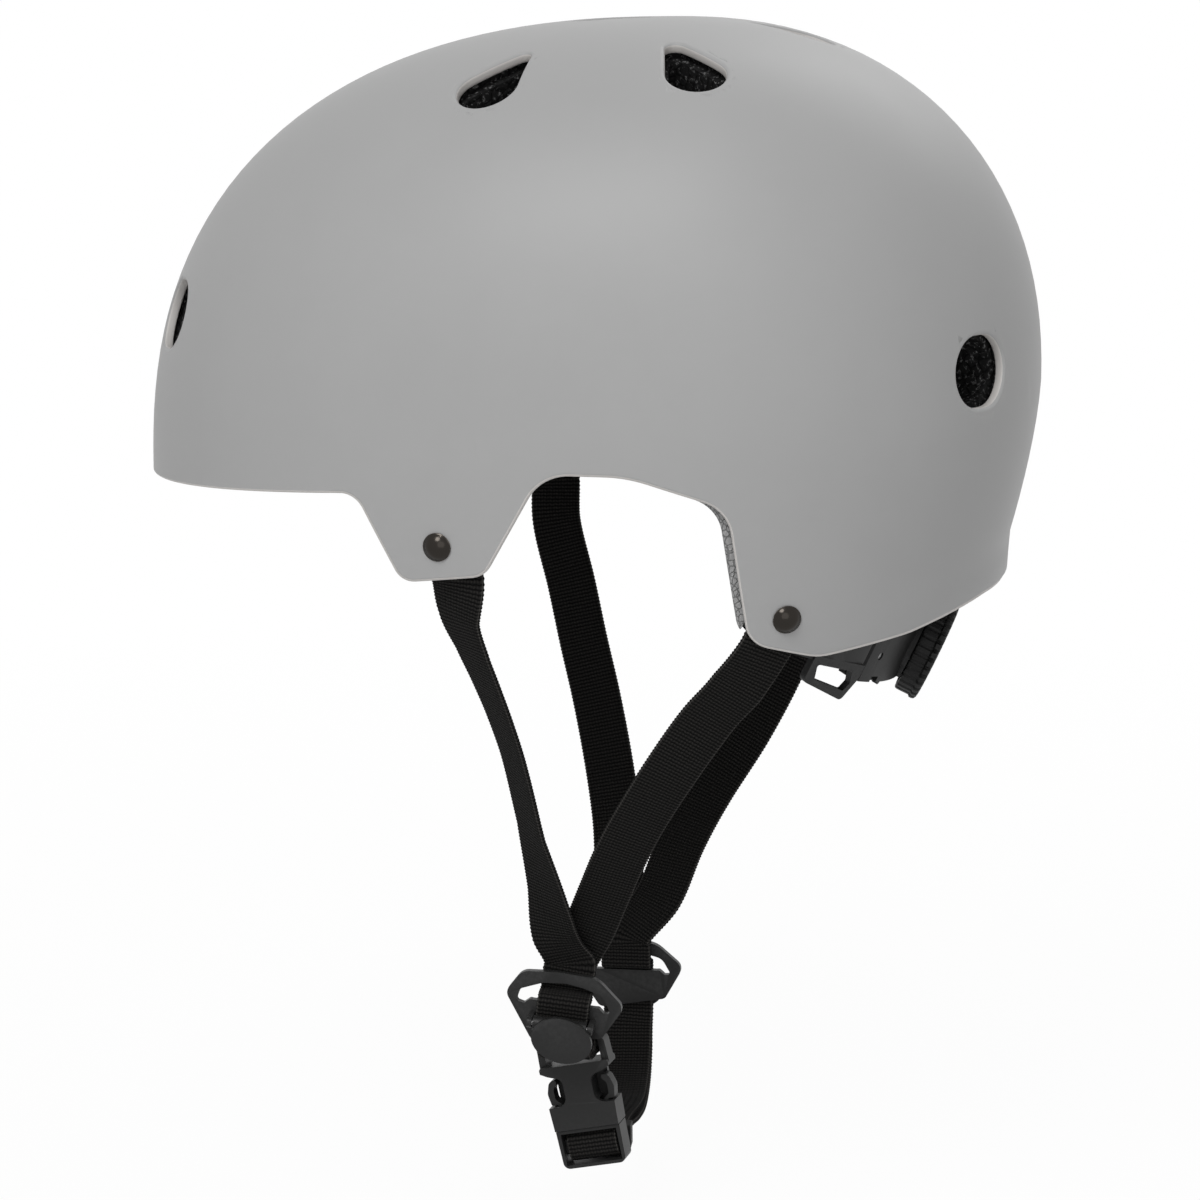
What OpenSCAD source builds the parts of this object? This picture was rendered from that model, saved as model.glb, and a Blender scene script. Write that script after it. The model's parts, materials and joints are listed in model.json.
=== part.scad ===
// Skate helmet: hard shell, foam liner, fit pads, rear dial cradle, webbing harness and side release buckle.
// Millimetres. +Z is up, the front of the helmet faces -Y and +X is the wearer's left.
// The origin is the middle of the head opening at brim height.

/* [Shell] */
// Half width of the shell at its widest
shell_half_w = 107; // [104:1:112]
// Reach of the shell forward of its widest line
front_reach = 157.2; // [153:0.2:160]
// Reach of the shell behind its widest line
rear_reach = 108.4; // [106:0.2:111]
// How far the widest line lies behind the origin
widest_y = 24; // [23:1:26]
// Height of the crown above the origin
crown_h = 137; // [132:1:144]
// Wall of the hard shell
shell_t = 2.8; // [2.4:0.1:3.2]
// Depth of the collar pressed in round each vent
collar_depth = 5; // [4.5:0.5:6]
// Wall of that collar
collar_t = 1.6; // [1.2:0.1:2]
// How far the rear lip flares out
lip_flare = 2.5; // [1:0.5:3]

/* [Rim] */
// Height of the brim at the sides
brim_z = 8.4; // [6:0.2:10]
// Lowest edge of the front strap tab
front_tab_z = -16.3; // [-19:0.1:-15]
// Top of the ear arch
ear_arch_z = 15.8; // [14:0.2:18]
// Lowest edge of the rear strap tab
rear_tab_z = -36.5; // [-38:0.5:-35]
// How far the liner stands forward of the shell behind the ear
liner_show = 2.8; // [1:0.2:3]

/* [Liner and pads] */
// Thickness of the foam liner
liner_t = 22; // [20:0.5:23]
// Gap between the shell and the liner
liner_gap = 0.5; // [0.4:0.05:0.7]
// Thickness of a fit pad at its crown
pad_t = 7; // [5:0.5:9]
// Thickness of a hook dot
dot_t = 1; // [0.8:0.1:1.2]
// Radius of a hook dot
dot_r = 5; // [4:0.5:6]

/* [Rivets] */
// Radius of a rivet's domed cap
rivet_r = 4.1; // [3.6:0.1:4.6]
// Height of the dome
rivet_h = 2.2; // [1.8:0.1:2.6]
// Radius of a rivet's post
post_r = 1.6; // [1.4:0.1:1.9]
// Radius of the washer behind the strap
washer_r = 5; // [4.5:0.1:6]

/* [Webbing] */
// Width of the webbing
web_w = 16; // [15:0.5:17]
// Thickness of the webbing
web_t = 1.5; // [1.2:0.1:1.6]
// Gap between two layers of webbing
web_gap = 0.3; // [0.2:0.05:0.4]

/* [Dividers] */
// Thickness of a divider plate
plate_t = 2.4; // [2.2:0.1:2.6]
// Height of the slot in a divider plate
plate_slot_h = 5.8; // [5.6:0.1:6.2]
// Length of that slot
plate_slot_w = 27; // [25:0.5:28]
// Width of the oval cam lever
cam_w = 18.4; // [17:0.2:19]
// Height of the oval cam lever
cam_h = 13.5; // [12.5:0.5:14]
// Thickness of the lever's oval face
cam_face_t = 2; // [1.6:0.1:2.4]
// Radius of a cam lever's pin
cam_pin_r = 0.8; // [0.7:0.05:0.9]

/* [Buckle] */
// Width of the buckle
buckle_w = 22; // [21.6:0.1:23]
// Thickness of the female half
buckle_t = 8; // [7.6:0.1:9]
// Thickness of the male half
male_t = 6.8; // [6.4:0.1:7.2]
// Thickness of the female half at its strap bar
frame_t = 5.2; // [4.6:0.1:5.4]
// Radius of the bar that holds the left webbing
strap_bar_r = 1.2; // [1:0.05:1.3]
// Length of the female half below that bar
female_len = 24.6; // [24.2:0.1:25.4]
// Length of the male half's base
male_len = 12; // [11.9:0.1:13]
// Half thickness of the flat bar that holds the chin webbing
tri_bar_r = 1; // [0.9:0.05:1.1]

/* [Dial] */
// Radius of the dial wheel
dial_r = 16; // [15:0.5:18]
// Thickness of the dial wheel
dial_t = 7; // [6.8:0.1:8]
// Gap between the dial and the gear housing
dial_stand = 0.5; // [0.4:0.1:1]
// Grip notches round the dial
dial_notches = 34; // [24:1:40]
// Pitch radius of the pinion
pinion_r = 4.5; // [4.2:0.1:4.8]
// Teeth on the pinion
pinion_teeth = 10; // [10:2:12]
// Turn of the dial each way from the middle
dial_half_turn = 120; // [100:5:120]
// Play of the dial's shaft in its bearings
shaft_play = 0.05; // [0.03:0.01:0.1]

/* [Cradle] */
// Inner radius of the two rack bands
band_r = 78; // [77:0.5:78.5]
// Thickness of a rack band
band_t = 1.6; // [1.4:0.1:1.8]
// Gap on each side of a band in its channel
band_gap = 0.25; // [0.2:0.05:0.3]
// Half angle of the gear housing
housing_half = 31.5; // [31:0.5:32]
// Half height of the gear housing
housing_h = 10; // [9.8:0.1:11]
// Wall of the gear housing
housing_t = 2.2; // [2:0.1:2.4]
// Angle from the rear to each anchor pin
anchor_angle = 54; // [53.5:0.5:55]
// Radius of an anchor pin
anchor_r = 1.9; // [1.7:0.1:2.1]
// Angle from the rear to each strap guide loop
loop_angle = 40; // [39:0.5:41]

/* [Hidden] */
$fn = 48;

// Colours
SHELL_GREY = "#a0a2a4";
FOAM_BLACK = "#2b2b2d";
PAD_BLACK = "#1b1b1d";
WEB_BLACK = "#161617";
PLASTIC = "#2a2a2c";
GUNMETAL = "#4b4743";
STEEL = "#8b8d90";

// Shape of the dome
plan_n = 2.25;
belly_front = 3;
belly_side = 25;
belly_rear = 32;
bulge_front = 2.4;
bulge_side = 2.6;
bulge_rear = 2.2;
tuck_side = 0.06;
tuck_rear = 0.115;
tuck_span = 60;
lip_top = -15;
lip_full = -24;

// Offsets inward from the outside of the shell
liner_out = shell_t + liner_gap;
liner_in = liner_out + liner_t;
dot_out = liner_in + 1.2;
pad_out = dot_out + dot_t + 0.4;

// Rest positions of the harness hardware
left_plate = [42, -4.6, -156.7];
left_plate_tilt = -6;
right_plate = [-42, 4.2, -169.4];
right_plate_tilt = 0;
buckle_at = [37.3, -2.3, -167.2];
buckle_tilt = 12.5;
buckle_yaw = -8;

// The cradle's own frame: its ring centre, tilted so that it drops to the nape
ring_at = [0, 22, -13.5];
ring_tilt = 25;
pitch_r = band_r + band_t / 2;
cover_in = band_r + band_t + band_gap;
cover_out = cover_in + housing_t;
base_out = band_r - band_gap;
base_in = base_out - housing_t;
rack_pitch = 2 * PI * pinion_r / pinion_teeth;
band_travel = dial_half_turn * pinion_r / pitch_r;
dial_in = cover_out + dial_stand;
dial_out = dial_in + dial_t;

// Shares of the front, the side and the rear in a direction round the head
function front_share(u) = pow(max(0, -sin(u)), 2);
function rear_share(u) = pow(max(0, sin(u)), 2);
function blend3(u, front, side, rear) =
    front * front_share(u) + rear * rear_share(u) + side * (1 - front_share(u) - rear_share(u));
function smooth(t) = let (c = min(1, max(0, t))) c * c * (3 - 2 * c);
function unit(v) = v / norm(v);

// The dome: reach in plan, then the radius at a height, d inside the outer skin
function reach(u, d) = pow(
    pow(abs(cos(u)) / (shell_half_w - d), plan_n)
    + pow(abs(sin(u)) / ((sin(u) < 0 ? front_reach : rear_reach) - d), plan_n),
    -1 / plan_n);
function belly(u) = blend3(u, belly_front, belly_side, belly_rear);
function bulge(u) = blend3(u, bulge_front, bulge_side, bulge_rear);
function tuck(u) = blend3(u, 0, tuck_side, tuck_rear);
function lip(u, z) = lip_flare * pow(rear_share(u), 3) * smooth((lip_top - z) / (lip_top - lip_full));
function dome_r(u, z, d) = z > belly(u)
    ? reach(u, d) * pow(max(0, 1 - pow((z - belly(u)) / (crown_h - d - belly(u)), bulge(u))), 1 / bulge(u))
    : reach(u, d) * (1 - tuck(u) * pow((belly(u) - z) / tuck_span, 1.5)) + lip(u, z);
function place(u, r, z) = [r * cos(u), widest_y + r * sin(u), z];

// Points on the dome by direction and height, by direction and meridian angle, and by plan position
function skin(u, z, d = 0) = place(u, dome_r(u, z, d), z);
function skin_arc(u, a, d = 0) = place(
    u,
    reach(u, d) * pow(sin(a), 2 / bulge(u)),
    belly(u) + (crown_h - d - belly(u)) * pow(cos(a), 2 / bulge(u)));
function skin_xy(x, y, d = 0) =
    let (
        u = atan2(y - widest_y, x),
        share = norm([x, y - widest_y]) / reach(u, d))
    [x, y, belly(u) + (crown_h - d - belly(u)) * pow(1 - pow(share, bulge(u)), 1 / bulge(u))];
function skin_normal(u, z) =
    unit(cross(skin(u + 1, z) - skin(u - 1, z), skin(u, z + 1) - skin(u, z - 1)));
function top_normal(x, y) =
    unit(cross(skin_xy(x + 1, y) - skin_xy(x - 1, y), skin_xy(x, y + 1) - skin_xy(x, y - 1)));

// Rim outlines in the side view: [y, z, corner radius]
shell_rim = [
    [-160, brim_z - 7.9, 0], [-55.8, brim_z, 7], [-42.3, front_tab_z, 6], [-18.2, front_tab_z + 2.8, 7],
    [-1.5, ear_arch_z + 0.2, 13], [22, ear_arch_z, 40], [49.6, ear_arch_z - 8.6, 11],
    [55, rear_tab_z + 5, 8], [74, rear_tab_z, 14], [98, rear_tab_z + 4, 10], [118, rear_tab_z + 10, 6],
    [160, rear_tab_z + 13, 0], [160, 200, 0], [-160, 200, 0]
];
// The liner stops a little above the shell's edge, and stands forward of it behind the ear
rim_set = 1.2;
liner_rim = [
    for (i = [0:len(shell_rim) - 1])
    let (p = shell_rim[i], ear_rear = i == 6 || i == 7)
    [p[0] - (ear_rear ? liner_show : 0) + (i == 1 || i == 2 ? rim_set : i == 3 || i == 4 ? -rim_set : 0),
     p[1] + (i == 6 ? -0.4 : rim_set), p[2]]
];

// A closed outline of [x, y, corner radius] whose corners are arcs
function corner(a, b, c, r, steps) =
    let (
        p = [a[0], a[1]] - [b[0], b[1]],
        q = [c[0], c[1]] - [b[0], b[1]],
        half = acos(unit(p) * unit(q)) / 2,
        back = r / tan(half),
        turn = sign(p[0] * q[1] - p[1] * q[0]),
        centre = [b[0], b[1]] + unit(unit(p) + unit(q)) * r / sin(half),
        start = [b[0], b[1]] + unit(p) * back - centre)
    [for (i = [0:steps])
        let (t = -turn * (180 - 2 * half) * i / steps)
        centre + [start[0] * cos(t) - start[1] * sin(t), start[0] * sin(t) + start[1] * cos(t)]];
function rounded(points, steps = 6) =
    let (n = len(points))
    [for (i = [0:n - 1])
        let (p = points[i], before = points[(i + n - 1) % n], after = points[(i + 1) % n])
        each p[2] == 0 ? [[p[0], p[1]]] : corner(before, p, after, p[2], steps)];

// Rows of the dome's mesh below its belly, as shares of the way down to its open foot
low_rows = [0.17, 0.33, 0.46, 0.56, 0.63, 0.7, 0.78, 1];
foot_z = -46;

// Two triangles for a four-sided face
function split(a, b, c, d) = [[a, b, c], [a, c, d]];

// Directions round the dome that lie about evenly along its outline
function station(t) = atan2((sin(t) < 0 ? front_reach : rear_reach) * sin(t), shell_half_w * cos(t));

// The dome between two offsets, open at the bottom
module dome_band(out, in, around, down) {
    rows = down + len(low_rows);
    function ring(d, j) = [
        for (k = [0:around - 1])
        let (u = station(360 * k / around))
        j < down
            ? skin_arc(u, 90 * (j + 1) / down, d)
            : skin(u, belly(u) + (foot_z - belly(u)) * low_rows[j - down], d)
    ];
    points = concat(
        [skin_arc(0, 0, out)], [for (j = [0:rows - 1]) each ring(out, j)],
        [skin_arc(0, 0, in)], [for (j = [0:rows - 1]) each ring(in, j)]);
    half = 1 + rows * around;
    function at(side, j, k) = side * half + 1 + j * around + k % around;
    faces = concat(
        [for (k = [0:around - 1]) [0, at(0, 0, k + 1), at(0, 0, k)]],
        [for (k = [0:around - 1]) [half, at(1, 0, k), at(1, 0, k + 1)]],
        [for (j = [0:rows - 2], k = [0:around - 1])
            each split(at(0, j, k), at(0, j, k + 1), at(0, j + 1, k + 1), at(0, j + 1, k))],
        [for (j = [0:rows - 2], k = [0:around - 1])
            each split(at(1, j, k), at(1, j + 1, k), at(1, j + 1, k + 1), at(1, j, k + 1))],
        [for (k = [0:around - 1])
            each split(
                at(0, rows - 1, k), at(0, rows - 1, k + 1),
                at(1, rows - 1, k + 1), at(1, rows - 1, k))]);
    polyhedron(points = points, faces = faces);
}

// A slab between two grids of points, both listed row by row
module slab(outer, inner, nu, nv) {
    half = (nu + 1) * (nv + 1);
    function at(side, j, i) = side * half + j * (nu + 1) + i;
    faces = concat(
        [for (j = [0:nv - 1], i = [0:nu - 1])
            each split(at(0, j, i), at(0, j, i + 1), at(0, j + 1, i + 1), at(0, j + 1, i))],
        [for (j = [0:nv - 1], i = [0:nu - 1])
            each split(at(1, j, i), at(1, j + 1, i), at(1, j + 1, i + 1), at(1, j, i + 1))],
        [for (i = [0:nu - 1]) each split(at(0, 0, i + 1), at(0, 0, i), at(1, 0, i), at(1, 0, i + 1))],
        [for (i = [0:nu - 1]) each split(at(0, nv, i), at(0, nv, i + 1), at(1, nv, i + 1), at(1, nv, i))],
        [for (j = [0:nv - 1]) each split(at(0, j, 0), at(0, j + 1, 0), at(1, j + 1, 0), at(1, j, 0))],
        [for (j = [0:nv - 1]) each split(at(0, j + 1, nu), at(0, j, nu), at(1, j, nu), at(1, j + 1, nu))]);
    polyhedron(points = concat(outer, inner), faces = faces);
}

// A side-view outline carried across the whole width
module side_slab(points) {
    rotate([90, 0, 90])
        linear_extrude(300, center = true)
            polygon(points);
}

// Turns local +Z to a direction, with local +X down the slope
module facing(n) {
    rotate([0, acos(n[2]), atan2(n[1], n[0])])
        children();
}

module mirrored() {
    children();
    mirror([1, 0, 0])
        children();
}

// Vents: [wide end, its radius, narrow end, its radius, direction], each end a point on the dome
function side_vent(u, z, r, half_turn) =
    [skin(u - half_turn, z), r, skin(u + half_turn, z), r, skin_normal(u, z)];
function top_vent(wide, wide_r, tip, tip_r) =
    [skin_xy(wide[0], wide[1]), wide_r, skin_xy(tip[0], tip[1]), tip_r,
     top_normal((wide[0] + tip[0]) / 2, (wide[1] + tip[1]) / 2)];
paired_vents = [
    side_vent(-75.7, 51.7, 10.2, 1),
    side_vent(57, 41.2, 10.2, 0.9),
    top_vent([62.6, -23], 9, [49.8, -14.6], 2.2),
    top_vent([63.6, 36.2], 8.6, [50.8, 29], 3)
];
centre_vents = [
    top_vent([0, -1], 8, [0, 14], 2),
    top_vent([0, 62], 8.5, [0, 47], 2)
];

// One vent's prism from a height above the skin down to a depth below it, widened by grow
module vent_prism(v, grow, above, depth) {
    hull()
        for (e = [0, 2])
            translate(v[e])
                facing(v[4])
                    translate([0, 0, -depth])
                        cylinder(r = v[e + 1] + grow, h = above + depth, $fn = 20);
}

module all_vents(grow, above, depth) {
    mirrored()
        for (v = paired_vents)
            vent_prism(v, grow, above, depth);
    for (v = centre_vents)
        vent_prism(v, grow, above, depth);
}

// Rivets: [direction round the head, height]
rivet_spots = [[-28.8, -5.3], [23.6, -24.4]];
module at_rivets(d = 0) {
    mirrored()
        for (s = rivet_spots)
            translate(skin(s[0], s[1], d))
                facing(skin_normal(s[0], s[1]))
                    children();
}

module outer_shell() {
    color(SHELL_GREY)
        difference() {
            union() {
                intersection() {
                    dome_band(0, shell_t, 52, 13);
                    side_slab(rounded(shell_rim));
                }
                all_vents(collar_t, -1.3, collar_depth);
            }
            all_vents(0, 8, collar_depth + 1);
            at_rivets()
                cylinder(r = post_r + 0.1, h = 20, center = true, $fn = 24);
        }
}

// Room for a strap between the shell and the liner, from its rivet down past the rim
pocket_w = web_w + 8;
pocket_depth = liner_out + 2 * web_t + 4;
module strap_pockets() {
    mirrored() {
        translate(skin(rivet_spots[0][0], rivet_spots[0][1]))
            facing(skin_normal(rivet_spots[0][0], rivet_spots[0][1]))
                translate([-14, -pocket_w / 2, -pocket_depth])
                    cube([60, pocket_w, pocket_depth + 4]);
        translate(skin(rivet_spots[1][0], rivet_spots[1][1]))
            facing(skin_normal(rivet_spots[1][0], rivet_spots[1][1]))
                rotate([0, 0, -22])
                    translate([-14, -pocket_w / 2, -pocket_depth])
                        cube([60, pocket_w, pocket_depth + 4]);
    }
}

module in_ring() {
    translate(ring_at)
        rotate([-ring_tilt, 0, 0])
            children();
}

module foam_liner() {
    color(FOAM_BLACK)
        difference() {
            intersection() {
                dome_band(liner_out, liner_in, 40, 10);
                side_slab(rounded(liner_rim));
            }
            all_vents(collar_t + 0.4, 8, collar_depth + 0.4);
            all_vents(-1, 8, 60);
            strap_pockets();
            in_ring() {
                cylinder(r = cover_out + 0.6, h = 2 * housing_h + 2, center = true, $fn = 72);
                for (side = [0, 1])
                    mirror([side, 0, 0])
                        anchor_bore();
            }
        }
}

module anchor_bore() {
    rotate([0, 0, 90 - anchor_angle])
        translate([cover_out, 0, anchor_z])
            rotate([0, 90, 0])
                cylinder(r = anchor_r + 0.1, h = anchor_len, $fn = 24);
}

// A fit pad: a patch of the dome with a crown, drawn-in sides and sewn channels
function pad_swell(s, q) = 0.3 + 0.7 * pow(max(0, (1 - pow(s, 4)) * (1 - pow(q, 4))), 0.6);
function channel(v, at, half_w) = 1 - 0.45 * pow(max(0, 1 - abs(v - at) / half_w), 0.7);
draw_in = 0.08;
module wall_pad(u0, u1, z_top, z_low, channels, nu, nv) {
    function grid(thick) = [
        for (j = [0:nv], i = [0:nu])
        let (
            s = 2 * i / nu - 1,
            q = 2 * j / nv - 1,
            u = (u0 + u1) / 2 + (u1 - u0) / 2 * s * (1 - draw_in * (1 - q * q)),
            z = (z_top + z_low) / 2 - (z_top - z_low) / 2 * q * (1 - draw_in * (1 - s * s)),
            sewn = min([1, for (c = channels) channel(s, c, 0.16)]),
            d = pad_out + thick * pad_t * pad_swell(s, q) * sewn)
        skin(u, z, d)
    ];
    slab(grid(0), grid(1), nu, nv);
}

module crown_pad() {
    half_x = 40;
    half_y = 52;
    nu = 16;
    nv = 20;
    function grid(thick) = [
        for (j = [0:nv], i = [0:nu])
        let (
            s = 2 * i / nu - 1,
            q = 1 - 2 * j / nv,
            x = half_x * s * sqrt(1 - q * q / 2) * (1 - draw_in * (1 - q * q)),
            y = widest_y + half_y * q * sqrt(1 - s * s / 2),
            sewn = min(channel(q, 0.36, 0.12), channel(q, -0.36, 0.12)),
            d = pad_out + thick * pad_t * pad_swell(s, q) * sewn)
        skin_xy(x, y, d)
    ];
    color(PAD_BLACK)
        slab(grid(0), grid(1), nu, nv);
}

module brow_pad() {
    color(PAD_BLACK)
        wall_pad(-128, -52, 32, 12, [-0.34, 0.34], 26, 8);
}

module left_side_pad() {
    color(PAD_BLACK)
        wall_pad(-22, 34, 64, 24, [0], 16, 10);
}

module right_side_pad() {
    mirror([1, 0, 0])
        left_side_pad();
}

module rear_pad() {
    color(PAD_BLACK)
        wall_pad(62, 118, 46, 4, [-0.34, 0.34], 20, 10);
}

// Hook dots: [direction, height] on the wall, [x, y] on the crown
wall_dots = [[-98, 22], [-82, 22], [75, 25], [105, 25], [-8, 46], [20, 46], [160, 46], [188, 46]];
crown_dots = [[-18, 0], [18, 0], [-18, 48], [18, 48]];
module hook_dots() {
    color(STEEL) {
        for (p = wall_dots)
            translate(skin(p[0], p[1], dot_out + dot_t))
                facing(skin_normal(p[0], p[1]))
                    cylinder(r = dot_r, h = dot_t);
        for (p = crown_dots)
            translate(skin_xy(p[0], p[1], dot_out + dot_t))
                facing(top_normal(p[0], p[1]))
                    cylinder(r = dot_r, h = dot_t);
    }
}

// A rivet's cap is a slice of a ball, standing just off the curved shell
cap_ball_r = (rivet_r * rivet_r + rivet_h * rivet_h) / (2 * rivet_h);
rivet_seat = 0.1;
web_d = liner_out + web_t / 2 + 0.6;
module rivet_caps() {
    color(GUNMETAL)
        at_rivets() {
            translate([0, 0, rivet_seat])
                intersection() {
                    translate([0, 0, rivet_h - cap_ball_r])
                        sphere(r = cap_ball_r);
                    cylinder(r = rivet_r, h = rivet_h + 1);
                }
            translate([0, 0, -web_d - web_t / 2 - 1.6])
                cylinder(r = post_r, h = web_d + web_t / 2 + 1.6 + rivet_seat + 0.2);
        }
}

module rivet_washers() {
    color(GUNMETAL)
        at_rivets()
            translate([0, 0, -web_d - web_t / 2 - 1.5])
                difference() {
                    cylinder(r = washer_r, h = 1);
                    translate([0, 0, -1])
                        cylinder(r = post_r + 0.05, h = 3);
                }
}

// A flat strap swept along stations of [point, direction of its width]
function tangent(s, i) = unit(s[min(i + 1, len(s) - 1)][0] - s[max(i - 1, 0)][0]);
function across(s, i) = let (t = tangent(s, i)) unit(s[i][1] - (s[i][1] * t) * t);
function knot(a, b) = max(0.01, sqrt(norm(b - a)));
function curve4(a, b, c, d, t) =
    let (
        ab = knot(a, b),
        bc = knot(b, c),
        cd = knot(c, d),
        start = bc * ((b - a) / ab - (c - a) / (ab + bc) + (c - b) / bc),
        end = bc * ((c - b) / bc - (d - b) / (bc + cd) + (d - c) / cd))
    b + t * (start + t * (3 * (c - b) - 2 * start - end + t * (2 * (b - c) + start + end)));
function smoothed(s, steps) =
    let (n = len(s))
    [for (i = [0:n - 2], k = [0:steps - 1])
        let (a = s[max(i - 1, 0)], b = s[i], c = s[i + 1], d = s[min(i + 2, n - 1)], t = k / steps)
        [curve4(a[0], b[0], c[0], d[0], t), b[1] + (c[1] - b[1]) * t],
     s[n - 1]];
module strap(stations, steps = 2) {
    s = smoothed(stations, steps);
    n = len(s);
    corners = [
        for (i = [0:n - 1])
        let (w = across(s, i) * web_w / 2, h = cross(tangent(s, i), across(s, i)) * web_t / 2)
        each [s[i][0] - w - h, s[i][0] + w - h, s[i][0] + w + h, s[i][0] - w + h]
    ];
    faces = concat(
        [for (i = [0:n - 2], k = [0:3])
            each split(4 * i + k, 4 * i + 4 + k, 4 * i + 4 + (k + 1) % 4, 4 * i + (k + 1) % 4)],
        split(0, 1, 2, 3),
        split(4 * n - 1, 4 * n - 2, 4 * n - 3, 4 * n - 4));
    polyhedron(points = corners, faces = faces);
}

// Width directions: flat to the side, or twisted with the rear edge outward by an angle
function lay(twist) = [sin(twist), cos(twist), 0];
function mirror_x(v) = [-v[0], v[1], v[2]];

// Frames of a divider plate and of the buckle: local x to the rear, y up, z out from the head
function turned(p, tilt) = [p[2], p[0] * cos(tilt) - p[1] * sin(tilt), p[0] * sin(tilt) + p[1] * cos(tilt)];
function yawed(p, yaw) = [p[0] * cos(yaw) - p[1] * sin(yaw), p[0] * sin(yaw) + p[1] * cos(yaw), p[2]];
function on_left_plate(p) = left_plate + turned(p, left_plate_tilt);
function on_right_plate(p) = right_plate + mirror_x(turned(p, right_plate_tilt));
function on_buckle(p) = buckle_at + yawed(turned(p, buckle_tilt), buckle_yaw);
left_wide = turned([1, 0, 0], left_plate_tilt);
right_wide = turned([1, 0, 0], right_plate_tilt);
buckle_wide = yawed(turned([1, 0, 0], buckle_tilt), buckle_yaw);

// Layers of webbing on a plate: the near one and the far one, by their middle
layer_step = web_t + web_gap;
near_z = plate_t / 2 + 0.25 + web_t / 2;
far_z = near_z + layer_step;
slot_low = 4.2;
slot_top = slot_low + plate_slot_h;
slot_tall_half = web_w / 2 + 2.2;
clamp_y = -1.5;

// Both straps pass the slot from behind the plate to its outside, the rear one below: [y, z]
front_pass = [
    [slot_top + 6, -near_z - 0.2], [slot_top + 2.6, -near_z], [slot_top - 1.2, -near_z],
    [slot_low + 3.3, -1.5], [slot_low + 2.85, -0.2], [slot_low + 2.65, 1.3], [slot_low + 2.15, 3],
    [slot_low + 0.6, far_z], [slot_low - 1.2, far_z], [clamp_y + 1.6, far_z], [clamp_y, far_z]
];
rear_pass = [
    [slot_top + 6, -far_z - 1], [slot_top + 2.6, -far_z - 0.4], [slot_top - 0.6, -far_z],
    [slot_low + 3, -far_z + 0.2], [slot_low + 1.7, -far_z + 1.2], [slot_low + 1.1, -1.3],
    [slot_low + 1, 0], [slot_low + 0.95, 1], [slot_low + 0.35, near_z - 0.1],
    [slot_low - 1.2, near_z], [clamp_y + 1.6, near_z], [clamp_y, near_z]
];

// Free runs of the webbing, in round numbers: [point, twist]
left_front_run = [
    [[91.5, -27, -27], 38],
    [[86.5, -24, -38], 48], [[81.5, -21, -48], 52], [[76, -18, -59], 55], [[69, -15, -73], 57],
    [[59.5, -11.5, -96], 56], [[51, -8, -117], 38], [[43.5, -6.2, -133], 12]
];
left_rear_run = [
    [[86, 51, -46], 0], [[80, 42, -57], 0], [[71.5, 28.5, -77.5], 0], [[63, 19.5, -93], 0],
    [[57, 14, -104], 0], [[49.3, 8.5, -117], 0], [[41.3, 2.5, -131], 0]
];
right_front_run = [
    [[-92, -25.5, -29], 0], [[-87.5, -20, -49], 0], [[-83.5, -15.5, -67], 0], [[-78.5, -10.5, -85], 0],
    [[-71, -5.5, -105], 0], [[-63.5, -2, -122], 0], [[-57, -0.5, -134.5], 0], [[-49.5, 1, -143.5], 0]
];
right_rear_run = [
    [[-89.5, 56.5, -54], 0], [[-87, 49, -74], 0], [[-82, 39, -94], 0], [[-74, 27.3, -113], 0],
    [[-61.5, 19.3, -128], 0], [[-46.5, 13, -143.5], 0]
];
function run(list) = [for (p = list) [p[0], lay(p[1])]];
function passed(list) = [for (p = list) [on_left_plate([0, p[0], p[1]]), left_wide]];
function passed_right(list) = [for (p = list) [on_right_plate([0, p[0], p[1]]), right_wide]];

// The end of a strap under its rivet: along the inside of the shell, turning by so much per millimetre
front_lean = -0.12;
rear_lean = 0.26;
function rivet_end(spot, lean, side) = [
    for (h = [7, 0, -9])
    let (
        u = spot[0] + lean * h,
        p = skin(u, spot[1] + h, web_d),
        w = unit(skin(u + 1, spot[1] + h) - skin(u - 1, spot[1] + h)))
    side > 0 ? [p, w] : [mirror_x(p), mirror_x(w)]
];

// A strap with the hole for its rivet, which stands at a given one of the four places
module riveted(stations, spot, side) {
    color(WEB_BLACK)
        difference() {
            strap(stations);
            mirror([side > 0 ? 0 : 1, 0, 0])
                translate(skin(spot[0], spot[1]))
                    facing(skin_normal(spot[0], spot[1]))
                        cylinder(r = post_r + 0.05, h = 30, center = true);
        }
}

module left_front_strap() {
    riveted(
        concat(rivet_end(rivet_spots[0], front_lean, 1), run(left_front_run), passed(front_pass)),
        rivet_spots[0], 1);
}

module left_rear_strap() {
    riveted(
        concat(rivet_end(rivet_spots[1], rear_lean, 1), run(left_rear_run), passed(rear_pass)),
        rivet_spots[1], 1);
}

module right_front_strap() {
    riveted(
        concat(rivet_end(rivet_spots[0], front_lean, -1), run(right_front_run), passed_right(front_pass)),
        rivet_spots[0], -1);
}

module right_rear_strap() {
    riveted(
        concat(rivet_end(rivet_spots[1], rear_lean, -1), run(right_rear_run), passed_right(rear_pass)),
        rivet_spots[1], -1);
}

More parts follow.
